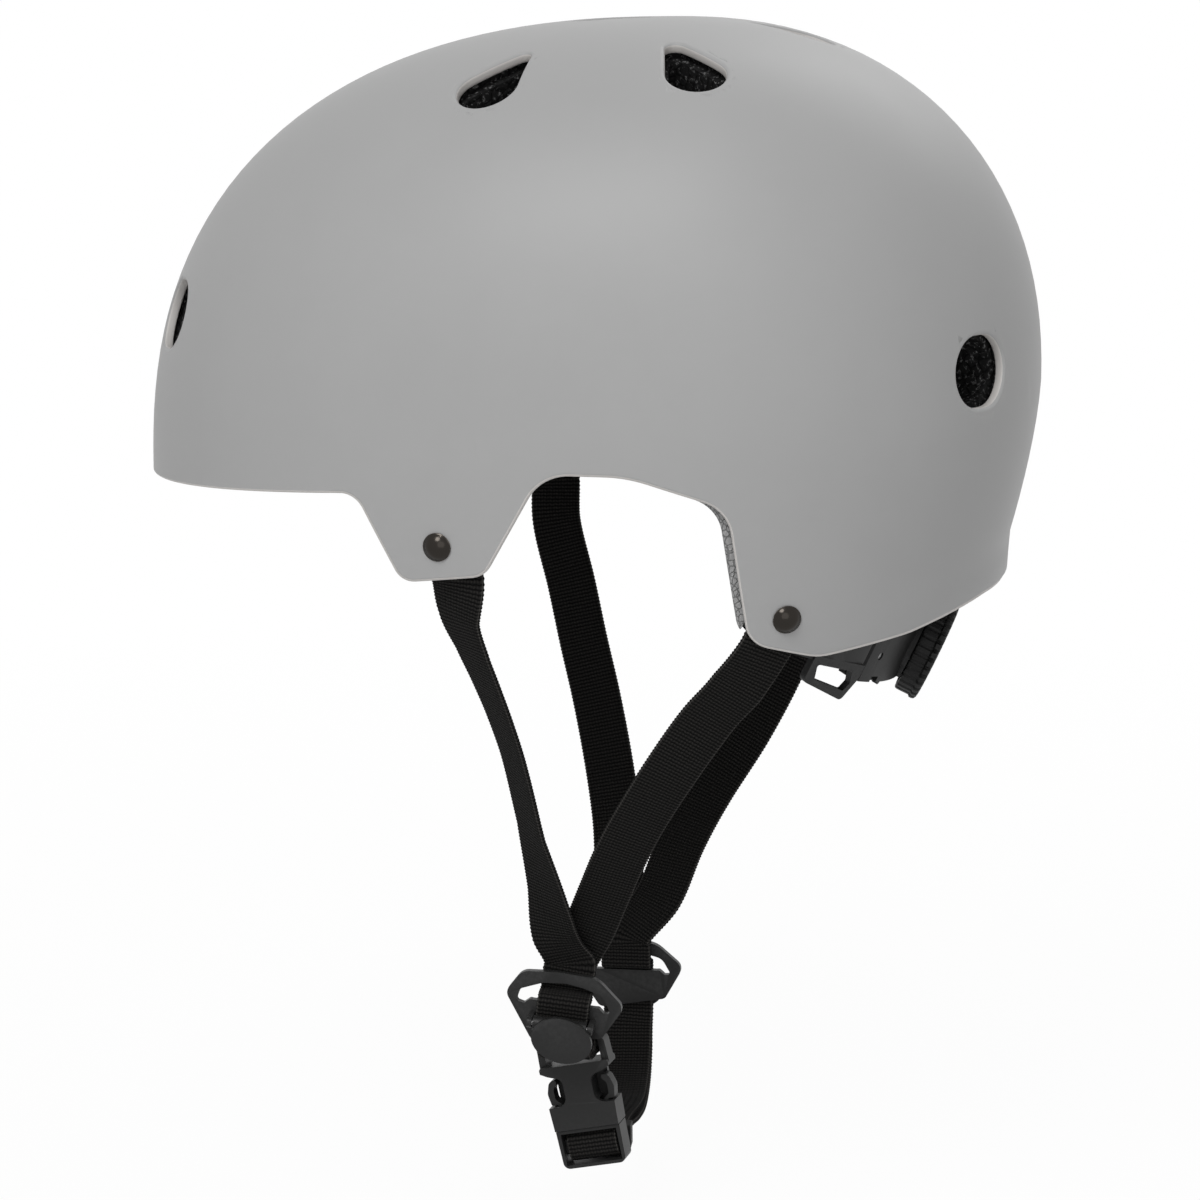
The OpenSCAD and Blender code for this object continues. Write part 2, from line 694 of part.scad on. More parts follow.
// The left webbing's short loop: under the cam lever, round the plate's foot and round the buckle's bar
wrap_r = strap_bar_r + web_t / 2 + 0.5;
plate_low = -8.4;
module left_buckle_loop() {
    halfway = unit(left_wide + buckle_wide);
    down = [
        for (p = [
            [0, clamp_y - 0.3, far_z], [0, -4, far_z], [0.6, -6.8, far_z],
            [1.6, plate_low - 0.7, far_z - 0.1], [2.5, plate_low - 2.7, far_z - 1.2], [3, plate_low - 3.4, 1]
        ])
        [on_left_plate(p), p[1] < plate_low - 3 ? halfway : left_wide]
    ];
    round_bar = [for (a = [-60:-30:-300]) [on_buckle([0, wrap_r * sin(a), wrap_r * cos(a)]), buckle_wide]];
    up = [
        for (p = [
            [2.9, plate_low - 1.2, -0.6], [2.5, plate_low - 1.45, 0.7], [1.5, plate_low - 0.5, near_z - 0.2],
            [0.5, -6.2, near_z + 0.05], [0, -4, near_z], [0, clamp_y - 0.3, near_z]
        ])
        [on_left_plate(p), p[2] < 0 ? halfway : left_wide]
    ];
    color(WEB_BLACK)
        strap(concat(down, round_bar, up));
}

// The chin strap: two layers from the right plate to the buckle's male half, one loop
tri_bar = [0, -30.6, -0.6];
tri_bar_half = 1.5;
tri_wrap_r = tri_bar_r + web_t / 2 + 0.6;
chin_outer_run = [
    [-46.2, 4, -185.5], [-43.8, 4.2, -192.5], [-36.5, 4.6, -199.3], [-22, 5, -203.5], [-4, 5.2, -202],
    [11, 5, -199.2], [23, 4.8, -197.6], [31.5, 4.6, -199.3]
];
chin_inner_run = [
    [31, 4.6, -196.3], [23, 4.8, -195.2], [11, 5, -196.2], [-4, 5.2, -198.4], [-20.5, 5, -199.6],
    [-33, 4.6, -195.4], [-39.6, 4.2, -189.5], [-43, 4, -184]
];
module chin_strap() {
    flat = [0, 1, 0];
    leave = [for (y = [clamp_y - 0.3, -6, -10]) [on_right_plate([0, y, far_z]), flat]];
    wrap = [
        for (end = [-1, 1], a = end < 0 ? [-105:35:0] : [0:35:105])
        let (p = tri_bar + [0, end * tri_bar_half + tri_wrap_r * sin(a), tri_wrap_r * cos(a)])
        [on_buckle(p), buckle_wide]
    ];
    join = [for (y = [-10, -6, clamp_y - 0.3]) [on_right_plate([0, y, near_z]), flat]];
    color(WEB_BLACK)
        strap(concat(
            leave, [for (p = chin_outer_run) [p, flat]], wrap,
            [for (p = chin_inner_run) [p, flat]], join));
}

// Places children in a plate's or the buckle's frame
module at_left_plate() {
    translate(left_plate)
        rotate([left_plate_tilt, 0, 0])
            rotate([90, 0, 90])
                children();
}

module at_right_plate() {
    mirror([1, 0, 0])
        translate(mirror_x(right_plate))
            rotate([right_plate_tilt, 0, 0])
                rotate([90, 0, 90])
                    children();
}

module at_buckle() {
    translate(buckle_at)
        rotate([buckle_tilt, 0, buckle_yaw])
            rotate([90, 0, 90])
                children();
}

// Divider plate: a rounded triangle with a curved slot and two ears for the cam lever's pin
plate_outline = [
    [-18, 5.6, 3], [-13.6, 12.6, 4], [-3, 13.6, 14], [9, 13.2, 8], [18, 5.4, 3], [12.2, plate_low + 3.4, 2],
    [-8.6, plate_low, 2.4]
];
cam_axis = [0, -0.9, far_z + web_t / 2 + 2.5];
ear_in = web_w / 2 + 0.4;
ear_t = 1.4;
module divider_plate() {
    half = plate_slot_w / 2;
    color(PLASTIC)
        difference() {
            union() {
                linear_extrude(plate_t, center = true)
                    polygon(rounded(plate_outline));
                for (side = [-1, 1])
                    translate([side * (ear_in + ear_t / 2), cam_axis[1], 0])
                        rotate([90, 0, 90])
                            linear_extrude(ear_t, center = true)
                                union() {
                                    translate([-1.6, 0])
                                        square([3.2, cam_axis[2]]);
                                    translate([0, cam_axis[2]])
                                        circle(r = 1.6);
                                }
            }
            linear_extrude(plate_t + 2, center = true)
                polygon(rounded([
                    [-half - 1, slot_low - 0.8, 0.9], [-half - 0.1, slot_low + 2.9, 1.5],
                    [-7, slot_top - 0.2, 5], [0, slot_top + 0.5, 10], [5.5, slot_top - 0.3, 6],
                    [slot_tall_half + 1, slot_top - 1.9, 4], [half + 0.6, slot_low - 1.2, 0.7],
                    [half - 1.4, slot_low - 1.4, 0.5], [slot_tall_half, slot_low + 0.3, 1],
                    [slot_tall_half - 0.5, slot_low, 0.3], [-slot_tall_half + 0.5, slot_low, 0.3],
                    [-slot_tall_half, slot_low + 0.3, 1], [-half + 1.4, slot_low - 1.4, 0.5]
                ]));
            translate([0, cam_axis[1], cam_axis[2]])
                rotate([0, 90, 0])
                    cylinder(r = cam_pin_r + 0.02, h = 40, center = true);
        }
}

// Cam lever: an oval face on a hinge barrel whose nose grips the webbing
barrel_r = 2.2;
cam_face_z = cam_axis[2] + 1.7;
cam_mid = [1.3, cam_axis[1] + 3.3 - cam_h / 2];
cam_lean = -8.5;
cam_neck_w = 10;
module cam_lever() {
    color(PLASTIC)
        difference() {
            union() {
                translate([cam_mid[0], cam_mid[1], cam_face_z])
                    rotate([0, 0, cam_lean])
                        linear_extrude(cam_face_t)
                            oval(cam_w, cam_h);
                translate([0, cam_axis[1], cam_axis[2]])
                    rotate([0, 90, 0])
                        cylinder(r = barrel_r, h = web_w, center = true);
                translate([-cam_neck_w / 2, cam_axis[1] - barrel_r, cam_axis[2]])
                    cube([cam_neck_w, barrel_r, cam_face_z - cam_axis[2] + cam_face_t / 2]);
            }
            translate([0, cam_axis[1], cam_axis[2]])
                rotate([0, 90, 0])
                    cylinder(r = cam_pin_r + shaft_play, h = 40, center = true);
        }
}

// An oval outline
module oval(w, h) {
    polygon([for (a = [0:10:350]) [cos(a) * w / 2, sin(a) * h / 2]]);
}

module cam_pin() {
    color(STEEL)
        translate([0, cam_axis[1], cam_axis[2]])
            rotate([0, 90, 0])
                cylinder(r = cam_pin_r, h = 2 * (ear_in + ear_t), center = true);
}

module left_divider() {
    at_left_plate() divider_plate();
}

module right_divider() {
    at_right_plate() divider_plate();
}

module left_cam_lever() {
    at_left_plate() cam_lever();
}

module right_cam_lever() {
    at_right_plate() cam_lever();
}

module left_cam_pin() {
    at_left_plate() cam_pin();
}

module right_cam_pin() {
    at_right_plate() cam_pin();
}

// Buckle sizes shared by its four pieces, along its axis from the strap bar down
half_w = buckle_w / 2;
web_room = web_w / 2 + 0.7;
frame_top = strap_bar_r + 1;
body_top = -4.7;
window_top = -7.6;
window_low = -17.3;
waist = 4.5;
mouth_half_w = 9.2;
mouth_half_t = 2.3;
back_half_w = 8.2;
prong_half_t = 2;
prong_root = [7.4, -female_len + 1.3];
prong_root_r = 1;
neck_half_w = mouth_half_w - 0.25;
neck_top = prong_root[1] + 1.6;
guide_half_w = 1.6;
guide_top = -9;

// Female half: strap bar, waist between two side windows, and a mouth for the prongs
module buckle_female() {
    color(PLASTIC)
        at_buckle()
            difference() {
                union() {
                    linear_extrude(frame_t, center = true)
                        polygon(rounded([
                            [-half_w + 0.3, frame_top, 1.6], [half_w - 0.3, frame_top, 1.6],
                            [half_w, body_top - 1, 0], [-half_w, body_top - 1, 0]
                        ]));
                    linear_extrude(buckle_t, center = true)
                        polygon(rounded([
                            [-half_w, body_top + 0.2, 1], [half_w, body_top + 0.2, 1],
                            [half_w - 0.9, -female_len, 0], [-half_w + 0.9, -female_len, 0]
                        ]));
                }
                // Room round the strap bar
                difference() {
                    translate([-web_room, body_top, -buckle_t])
                        cube([2 * web_room, frame_top - body_top + 1, 2 * buckle_t]);
                    rotate([0, 90, 0])
                        cylinder(r = strap_bar_r, h = 2 * web_room, center = true, $fn = 24);
                }
                // Side windows, rounded towards the waist
                difference() {
                    for (side = [-1, 1])
                        linear_extrude(2 * buckle_t, center = true)
                            polygon(rounded([
                                [side * (half_w + 4), window_top + 3.2, 0],
                                [side * (half_w - 2.4), window_top, 2.5],
                                [side * waist, window_top - 1.2, 2.4], [side * waist, window_low + 0.6, 3],
                                [side * (half_w - 3), window_low, 1.6], [side * (half_w + 4), window_low, 0]
                            ]));
                    // The back wall stays closed behind them
                    translate([-back_half_w, window_low - 1, -2 * buckle_t])
                        cube([2 * back_half_w, window_top - window_low + 6, 2 * buckle_t - mouth_half_t]);
                }
                // Mouth for the prongs and the guide
                translate([-mouth_half_w, -female_len - 1, -mouth_half_t])
                    cube([2 * mouth_half_w, window_low + 1 + female_len + 1, 2 * mouth_half_t]);
                translate([-guide_half_w - 0.3, -female_len - 1, -mouth_half_t])
                    cube([2 * guide_half_w + 0.6, female_len + guide_top + 2, 2 * mouth_half_t]);
            }
}

// Male half: guide, a neck with the prongs' sockets, and a window with the bar that the chin webbing wraps
male_top = -female_len - 0.25;
male_low = -female_len - male_len;
male_window_top = male_top - 0.95;
male_window_low = male_low + 1;
male_web_room = web_w / 2 + 0.8;
module buckle_male() {
    color(PLASTIC)
        at_buckle()
            difference() {
                union() {
                    difference() {
                        linear_extrude(male_t, center = true)
                            polygon(rounded([
                                [-half_w + 0.9, male_top, 0], [half_w - 0.9, male_top, 0],
                                [half_w - 1.2, male_low, 2], [-half_w + 1.2, male_low, 2]
                            ]));
                        translate([-male_web_room, male_window_low, -male_t])
                            cube([2 * male_web_room, male_window_top - male_window_low, 2 * male_t]);
                    }
                    hull()
                        for (end = [-1, 1])
                            translate([0, tri_bar[1] + end * tri_bar_half, tri_bar[2]])
                                rotate([0, 90, 0])
                                    cylinder(
                                        r = tri_bar_r, h = 2 * male_web_room + 1, center = true, $fn = 24);
                    translate([-guide_half_w, male_top - 0.5, -prong_half_t])
                        cube([2 * guide_half_w, guide_top - male_top + 0.5, 2 * prong_half_t]);
                    translate([-neck_half_w, male_top - 0.5, -prong_half_t])
                        cube([2 * neck_half_w, neck_top - male_top + 0.5, 2 * prong_half_t]);
                }
                // Sockets where the prongs flex
                for (side = [-1, 1]) {
                    translate([side * prong_root[0], prong_root[1], 0])
                        cylinder(r = prong_root_r + shaft_play, h = 2 * male_t, center = true, $fn = 24);
                    translate([side * prong_root[0] - 0.95, prong_root[1], -male_t])
                        cube([1.9, 4, 2 * male_t]);
                }
            }
}

// One prong: a round root, a thin arm and a sprung head that fills the side window
module prong(side) {
    head_low = window_low + 0.35;
    color(PLASTIC)
        at_buckle() {
            translate([side * prong_root[0], prong_root[1], 0])
                cylinder(r = prong_root_r, h = 2 * prong_half_t, center = true, $fn = 24);
            linear_extrude(2 * prong_half_t, center = true)
                polygon(rounded([
                    [side * (prong_root[0] - 0.6), prong_root[1], 0],
                    [side * (prong_root[0] + 0.6), prong_root[1], 0],
                    [side * 8.1, head_low, 0], [side * 10, head_low, 0.5],
                    [side * 10.6, head_low + 3.6, 3], [side * 9.5, window_top - 2, 2],
                    [side * 7, window_top - 1.5, 0.7], [side * 7.2, window_top - 3.2, 0.7],
                    [side * 8.5, window_top - 4.4, 1.6], [side * 8.4, head_low + 1.6, 1.2],
                    [side * 6.5, head_low, 1]
                ]));
        }
}

module buckle_front_prong() {
    prong(-1);
}

module buckle_rear_prong() {
    prong(1);
}

// Rubber keeper round both layers of the chin strap, beside the buckle
keeper_at = [28, 4.7, -197.1];
keeper_lean = 7.5;
keeper_len = 4.4;
keeper_t = 1.3;
module strap_keeper() {
    room = [0, web_w + 0.6, 2 * web_t + 1.9];
    color(WEB_BLACK)
        translate(keeper_at)
            rotate([0, keeper_lean, 0])
                difference() {
                    cube(room + [keeper_len, 2 * keeper_t, 2 * keeper_t], center = true);
                    cube(room + [keeper_len + 2, 0, 0], center = true);
                }
}

// Part of the cradle ring: radii, heights and angles counted from the rear towards the left
module ring_part(r_in, r_out, z_low, z_high, from, to) {
    rotate([0, 0, 90 - to])
        rotate_extrude(angle = to - from, $fn = 96)
            translate([r_in, z_low])
                square([r_out - r_in, z_high - z_low]);
}

// Pieces in the cradle at an angle from the rear, with local +Z pointing out from the ring
module at_ring(angle, r, z) {
    rotate([0, 0, 90 - angle])
        translate([r, 0, z])
            rotate([0, 90, 0])
                children();
}

module cradle_base() {
    color(PLASTIC)
        in_ring()
            difference() {
                ring_part(base_in, base_out, -housing_h, housing_h, -housing_half, housing_half);
                at_ring(0, base_in - 2, 0)
                    cylinder(r = 2 + shaft_play, h = 8);
                for (a = [-1, 1])
                    at_ring(a * screw_angle, base_in - 2, screw_z)
                        cylinder(r = 0.9, h = 8, $fn = 16);
            }
}

screw_angle = 26;
screw_z = -1.5;
screw_head_r = 1.2;
screw_sink = 1.2;
end_chamfer = 1.8;
latch_angle = 24;
lug_angle = 20.5;
guard_sink = 2;
module cradle_cover() {
    color(PLASTIC)
        in_ring()
            difference() {
                union() {
                    ring_part(cover_in, cover_out, -housing_h, housing_h, -housing_half, housing_half);
                    for (side = [0, 1])
                        mirror([0, 0, side])
                            ring_part(
                                base_out + 0.05, cover_out, rail_z, housing_h,
                                -housing_half, housing_half);
                    for (a = [-1, 1])
                        at_ring(a * screw_angle, base_out + 0.05, screw_z)
                            cylinder(r = 2.2, h = housing_t + 1, $fn = 24);
                    // Small lugs on the lower edge
                    for (a = [-1, 1])
                        at_ring(a * lug_angle, cover_in + 0.2, -housing_h)
                            cylinder(r = 1, h = housing_t - 0.4, $fn = 16);
                    // Guards that close the gap under the dial's skirt
                    at_ring(0, cover_out - guard_sink, 0)
                        intersection() {
                            difference() {
                                cylinder(r = dial_r - 1.2, h = dial_stand + guard_sink - 0.3);
                                translate([0, 0, -1])
                                    cylinder(r = dial_r - skirt - 0.2, h = 20);
                            }
                            translate([-housing_h, -dial_r, 0])
                                cube([2 * housing_h, 2 * dial_r, 20]);
                        }
                }
                at_ring(0, base_out - 2, 0)
                    cylinder(r = 3 + shaft_play, h = 12);
                at_ring(0, base_out - 2, 0)
                    translate([0, spring_peg_y, 0])
                        cylinder(r = 0.65, h = 12, $fn = 16);
                for (a = [-1, 1]) {
                    at_ring(a * screw_angle, base_in - 2, screw_z)
                        cylinder(r = 0.95, h = 12, $fn = 16);
                    at_ring(a * screw_angle, cover_out - screw_sink, screw_z)
                        cylinder(r = screw_head_r + 0.05, h = 5, $fn = 24);
                    // Sloped ends
                    at_ring(a * housing_half, cover_out, 0)
                        rotate([45, 0, 0])
                            cube([2 * housing_h + 2, end_chamfer * sqrt(2), end_chamfer * sqrt(2)], center = true);
                    // Latch slot in the lower edge
                    at_ring(a * latch_angle, cover_out, -housing_h)
                        cube([3.6, 4.4, 2.4], center = true);
                }
            }
}

// Two small screws hold the cover to the base
module cradle_screws() {
    color(STEEL)
        in_ring()
            for (a = [-1, 1])
                at_ring(a * screw_angle, base_in, screw_z) {
                    translate([0, 0, cover_out - base_in - screw_sink + 0.05])
                        cylinder(r = screw_head_r, h = 0.8, $fn = 24);
                    cylinder(r = 0.85, h = cover_out - base_in - screw_sink + 0.4, $fn = 16);
                }
}

// Rack bands: the left one runs above the pinion and the right one below it
tooth_set = 0.1;
rack_add = 0.5;
rack_ded = 1;
rack_back = 0.25;
strip_low = pinion_r + rack_ded;
strip_high = strip_low + 3.4;
rail_z = strip_high + band_gap;
rack_count = 12;
anchor_z = 2;
anchor_len = 8;
band_wide_from = housing_half + band_travel + 2;
slot_pad = asin((anchor_r + 0.3) / band_r);
module rack_tooth() {
    tip = rack_pitch / 4 - rack_back / 2 - rack_add * tan(20);
    root = rack_pitch / 4 - rack_back / 2 + rack_ded * tan(20);
    translate([tooth_set, 0, 0])
        rotate([90, 0, 90])
            linear_extrude(band_t - 2 * tooth_set)
                polygon([
                    [-root, strip_low + 0.2], [-tip, pinion_r - rack_add],
                    [tip, pinion_r - rack_add], [root, strip_low + 0.2]
                ]);
}

module band(pin_z) {
    tail = (rack_count / 2 + 0.3) * rack_pitch / pitch_r * 180 / PI;
    slot_half = anchor_r + 0.15;
    slot_end = anchor_angle + band_travel + slot_pad;
    difference() {
        union() {
            ring_part(band_r, band_r + band_t, strip_low, strip_high, -tail, slot_end + 2);
            ring_part(
                band_r, band_r + band_t, pin_z - slot_half - 1.5, strip_low + 0.5,
                band_wide_from, slot_end + 2);
            for (k = [0:rack_count - 1])
                rotate([0, 0, 90 - (k - rack_count / 2 + 0.5) * rack_pitch / pitch_r * 180 / PI])
                    translate([band_r, 0, 0])
                        rack_tooth();
        }
        ring_part(
            band_r - 2, band_r + band_t + 2, pin_z - slot_half, pin_z + slot_half,
            anchor_angle - band_travel - slot_pad, slot_end);
    }
}

module left_band() {
    color(PLASTIC)
        in_ring()
            band(anchor_z);
}

// The right band is the left one turned half round the pinion's axis
module right_band() {
    color(PLASTIC)
        in_ring()
            mirror([1, 0, 0])
                mirror([0, 0, 1])
                    band(-anchor_z);
}

// Fixed arm on the outside of a band, with the loop that guides a rear strap
arm_h = 6;
arm_joint = arm_h - 1.5;
module cradle_arm() {
    color(PLASTIC)
        in_ring()
            difference() {
                union() {
                    ring_part(cover_in, cover_out, -arm_h, arm_h, housing_half + 0.05, anchor_angle + 3.6);
                    rotate([0, 0, 90 - loop_angle])
                        translate([cover_in, 0, 0])
                            rotate([90, 0, 90])
                                linear_extrude(housing_t)
                                    difference() {
                                        polygon(rounded([
                                            [-10, -arm_joint, 0], [-10.3, -12.9, 2], [8.8, -16.4, 1.6],
                                            [12, -9, 3], [12.3, -arm_joint, 0]
                                        ], 4));
                                        polygon(rounded([
                                            [-7.6, -7, 0.8], [-6, -11.7, 1], [8, -13.4, 0.8],
                                            [9.4, -10.6, 0.8], [8, -7, 0.8]
                                        ], 4));
                                    }
                }
                at_ring(anchor_angle, cover_in - 2, anchor_z)
                    cylinder(r = anchor_r + 0.02, h = 8, $fn = 24);
            }
}

module left_cradle_arm() {
    cradle_arm();
}

module right_cradle_arm() {
    mirror([1, 0, 0])
        cradle_arm();
}

// Anchor pin: its head holds the band, and its shank passes the arm into the liner
module anchor_pin() {
    color(PLASTIC)
        in_ring()
            at_ring(anchor_angle, 0, anchor_z) {
                translate([0, 0, band_r - 1.7])
                    cylinder(r = 3.6, h = 1.4, $fn = 32);
                translate([0, 0, band_r - 0.5])
                    cylinder(r = anchor_r, h = cover_out + anchor_len - 0.5 - band_r, $fn = 24);
            }
}

module left_anchor_pin() {
    anchor_pin();
}

module right_anchor_pin() {
    mirror([1, 0, 0])
        anchor_pin();
}

// Foam pad on the inside of the gear housing
module nape_pad() {
    nu = 16;
    nv = 8;
    half_angle = housing_half - 3;
    function grid(thick) = [
        for (j = [0:nv], i = [0:nu])
        let (
            s = 2 * i / nu - 1,
            q = 1 - 2 * j / nv,
            a = 90 + half_angle * s * (1 - draw_in * (1 - q * q)),
            r = base_in - 0.3 - thick * 5 * pad_swell(s, q) * channel(s, 0, 0.16))
        [r * cos(a), r * sin(a), (housing_h - 1) * q * (1 - draw_in * (1 - s * s))]
    ];
    color(PAD_BLACK)
        in_ring()
            slab(grid(0), grid(1), nu, nv);
}

// Pinion: involute teeth between the racks, a nose in the base and a shaft through the cover
function inv(a) = tan(a) - a * PI / 180;
pinion_add = 0.75;
pinion_ded = 1;
base_circle = pinion_r * cos(20);
function half_tooth(r) =
    (rack_pitch / 4 - rack_back / 2) / pinion_r * 180 / PI
    + (inv(20) - (r > base_circle ? inv(acos(base_circle / r)) : 0)) * 180 / PI;
module pinion_outline() {
    radii = [pinion_r - pinion_ded, base_circle, pinion_r, pinion_r + pinion_add / 2, pinion_r + pinion_add];
    tooth = concat(
        [for (r = radii) [r, -half_tooth(r)]],
        [for (i = [len(radii) - 1:-1:0]) [radii[i], half_tooth(radii[i])]]);
    polygon([
        for (k = [0:pinion_teeth - 1], p = tooth)
        p[0] * [cos(p[1] + 360 * k / pinion_teeth), sin(p[1] + 360 * k / pinion_teeth)]
    ]);
}

module dial_pinion() {
    color(STEEL)
        in_ring()
            at_ring(0, 0, 0)
                difference() {
                    union() {
                        translate([0, 0, base_in + 0.3])
                            cylinder(r = 2, h = 3);
                        translate([0, 0, band_r + 0.05])
                            linear_extrude(band_t - 0.1)
                                pinion_outline();
                        translate([0, 0, band_r + band_t - 0.1])
                            cylinder(r = 3, h = dial_in + shaft_depth - band_r - band_t);
                    }
                    translate([0, 0, cover_out])
                        cylinder(r = 1.25, h = dial_t);
                }
}

// Dial wheel: notched rim, hollow back, a bore for the shaft and recesses for its screw and cap
skirt = 2.4;
hollow = dial_t - 3.6;
shaft_depth = hollow - 0.2;
web_top = hollow + 1.2;
cap_floor = dial_t - 1.1;
cap_r = 9;
module dial_wheel() {
    notch_r = 0.85;
    color(PLASTIC)
        in_ring()
            at_ring(0, dial_in, 0)
                difference() {
                    rotate_extrude($fn = 72)
                        polygon(rounded([
                            [0, 0, 0], [dial_r - 0.8, 0, 0.4], [dial_r, 1.2, 0.5], [dial_r, dial_t - 1.2, 0.8],
                            [dial_r - 1.4, dial_t, 0.6], [0, dial_t, 0]
                        ], 3));
                    translate([0, 0, -1])
                        difference() {
                            union() {
                                cylinder(r = dial_r - skirt, h = 1 + hollow);
                                for (k = [0:dial_notches / 2 - 1])
                                    rotate([0, 0, 720 * k / dial_notches])
                                        translate([dial_r - skirt, 0, 0])
                                            cylinder(r = 0.7, h = 1 + hollow, $fn = 8);
                            }
                            cylinder(r = 6, h = hollow + 2);
                        }
                    translate([0, 0, -1])
                        cylinder(r = 3.02, h = shaft_depth + 1);
                    cylinder(r = 1.3, h = dial_t + 1, $fn = 24);
                    translate([0, 0, web_top])
                        cylinder(r = 3.2, h = 4, $fn = 32);
                    translate([0, 0, cap_floor])
                        cylinder(r = cap_r + 0.05, h = 4);
                    for (k = [0:dial_notches - 1])
                        rotate([0, 0, 360 * k / dial_notches])
                            translate([dial_r + 0.1, 0, -1])
                                cylinder(r = notch_r, h = dial_t + 2, $fn = 12);
                }
}

module dial_screw() {
    head_z = web_top + 0.05;
    color(STEEL)
        in_ring()
            at_ring(0, dial_in, 0)
                difference() {
                    union() {
                        translate([0, 0, head_z])
                            cylinder(r = 2.9, h = cap_floor - head_z - 0.05, $fn = 32);
                        translate([0, 0, 0.1 - dial_stand])
                            cylinder(r = 1.2, h = head_z + dial_stand + 0.3, $fn = 24);
                    }
                    translate([-2.2, -0.4, cap_floor - 0.7])
                        cube([4.4, 0.8, 2]);
                }
}

module dial_cap() {
    color(PLASTIC)
        in_ring()
            at_ring(0, dial_in + cap_floor + 0.05, 0)
                cylinder(r = cap_r, h = dial_t - cap_floor - 0.1);
}

// Leaf spring on the cover whose two tips click in the notches inside the dial's skirt
spring_peg_y = 9.2;
module detent_spring() {
    tip = [6, 11.25];
    color(STEEL)
        in_ring()
            at_ring(0, cover_out, 0) {
                translate([0, spring_peg_y, 0.2 - housing_t])
                    cylinder(r = 0.6, h = housing_t, $fn = 16);
                translate([-1.5, spring_peg_y - 1, 0.1])
                    cube([3, 3, 0.8]);
                translate([-1.5, tip[1] - 0.4, 0.1])
                    cube([3, 0.65, dial_stand + 1.8]);
                translate([-tip[0], tip[1] - 0.25, dial_stand + 0.4])
                    cube([2 * tip[0], 0.5, 1.5]);
                for (side = [-1, 1])
                    translate([side * tip[0], tip[1], dial_stand + 0.4])
                        cylinder(r = 0.6, h = 1.5, $fn = 16);
            }
}

outer_shell();
foam_liner();
crown_pad();
brow_pad();
left_side_pad();
right_side_pad();
rear_pad();
hook_dots();
rivet_caps();
rivet_washers();
left_front_strap();
left_rear_strap();
left_buckle_loop();
left_divider();
left_cam_lever();
left_cam_pin();
right_front_strap();
right_rear_strap();
chin_strap();
right_divider();
right_cam_lever();
right_cam_pin();
buckle_female();
buckle_male();
buckle_front_prong();
buckle_rear_prong();
strap_keeper();
cradle_base();
cradle_cover();
cradle_screws();
left_band();
right_band();
left_cradle_arm();
right_cradle_arm();
left_anchor_pin();
right_anchor_pin();
nape_pad();
dial_wheel();
dial_pinion();
dial_screw();
dial_cap();
detent_spring();
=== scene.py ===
"""Dresses the skate helmet: matt shell, bead foam, cloth cushions, ribbed webbing and moulded plastics.

Lengths in the classes are millimetres in the frame of the solids: +Z up, the brow towards -Y, the wearer's
left towards +X. Meshes are written in metres.
"""

from __future__ import annotations

import json
import logging
import math
from dataclasses import dataclass, field
from enum import Enum
from typing import Any, Callable, Iterable, Sequence

import bmesh
import bpy
import numpy as np
from mathutils import Matrix, Vector

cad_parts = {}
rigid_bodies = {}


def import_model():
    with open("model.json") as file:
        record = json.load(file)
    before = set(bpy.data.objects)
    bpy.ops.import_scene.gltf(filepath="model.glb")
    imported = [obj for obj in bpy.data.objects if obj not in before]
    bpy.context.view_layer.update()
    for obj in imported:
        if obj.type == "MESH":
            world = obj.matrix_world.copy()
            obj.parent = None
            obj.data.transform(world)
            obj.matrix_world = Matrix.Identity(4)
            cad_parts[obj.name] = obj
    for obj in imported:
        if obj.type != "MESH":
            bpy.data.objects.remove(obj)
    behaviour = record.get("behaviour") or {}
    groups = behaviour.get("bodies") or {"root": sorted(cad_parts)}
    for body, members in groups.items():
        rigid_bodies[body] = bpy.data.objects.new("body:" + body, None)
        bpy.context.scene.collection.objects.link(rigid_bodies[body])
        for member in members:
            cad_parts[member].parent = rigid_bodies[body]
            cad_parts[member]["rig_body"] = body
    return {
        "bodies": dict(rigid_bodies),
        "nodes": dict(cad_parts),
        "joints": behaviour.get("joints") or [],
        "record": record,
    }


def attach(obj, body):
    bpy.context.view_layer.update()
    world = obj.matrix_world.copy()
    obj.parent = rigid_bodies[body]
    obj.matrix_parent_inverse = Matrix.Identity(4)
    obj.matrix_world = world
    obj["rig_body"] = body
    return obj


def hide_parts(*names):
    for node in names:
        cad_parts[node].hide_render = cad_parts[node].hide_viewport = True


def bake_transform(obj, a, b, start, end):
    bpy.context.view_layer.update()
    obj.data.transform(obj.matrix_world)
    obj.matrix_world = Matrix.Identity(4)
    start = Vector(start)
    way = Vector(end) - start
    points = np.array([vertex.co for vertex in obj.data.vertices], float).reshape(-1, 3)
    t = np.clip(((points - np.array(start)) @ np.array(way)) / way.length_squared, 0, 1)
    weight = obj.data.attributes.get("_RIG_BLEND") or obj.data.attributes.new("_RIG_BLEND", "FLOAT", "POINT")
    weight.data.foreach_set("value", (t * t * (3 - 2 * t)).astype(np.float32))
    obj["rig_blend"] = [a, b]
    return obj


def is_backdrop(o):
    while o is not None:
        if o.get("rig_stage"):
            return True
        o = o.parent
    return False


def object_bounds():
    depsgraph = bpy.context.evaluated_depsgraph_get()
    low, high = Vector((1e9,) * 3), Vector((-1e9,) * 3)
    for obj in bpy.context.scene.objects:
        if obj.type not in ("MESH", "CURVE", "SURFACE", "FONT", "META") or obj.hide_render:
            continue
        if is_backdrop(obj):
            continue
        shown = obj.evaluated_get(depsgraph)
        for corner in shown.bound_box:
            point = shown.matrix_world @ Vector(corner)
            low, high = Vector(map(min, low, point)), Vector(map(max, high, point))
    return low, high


LOG = logging.getLogger("helmet")
MM = 0.001
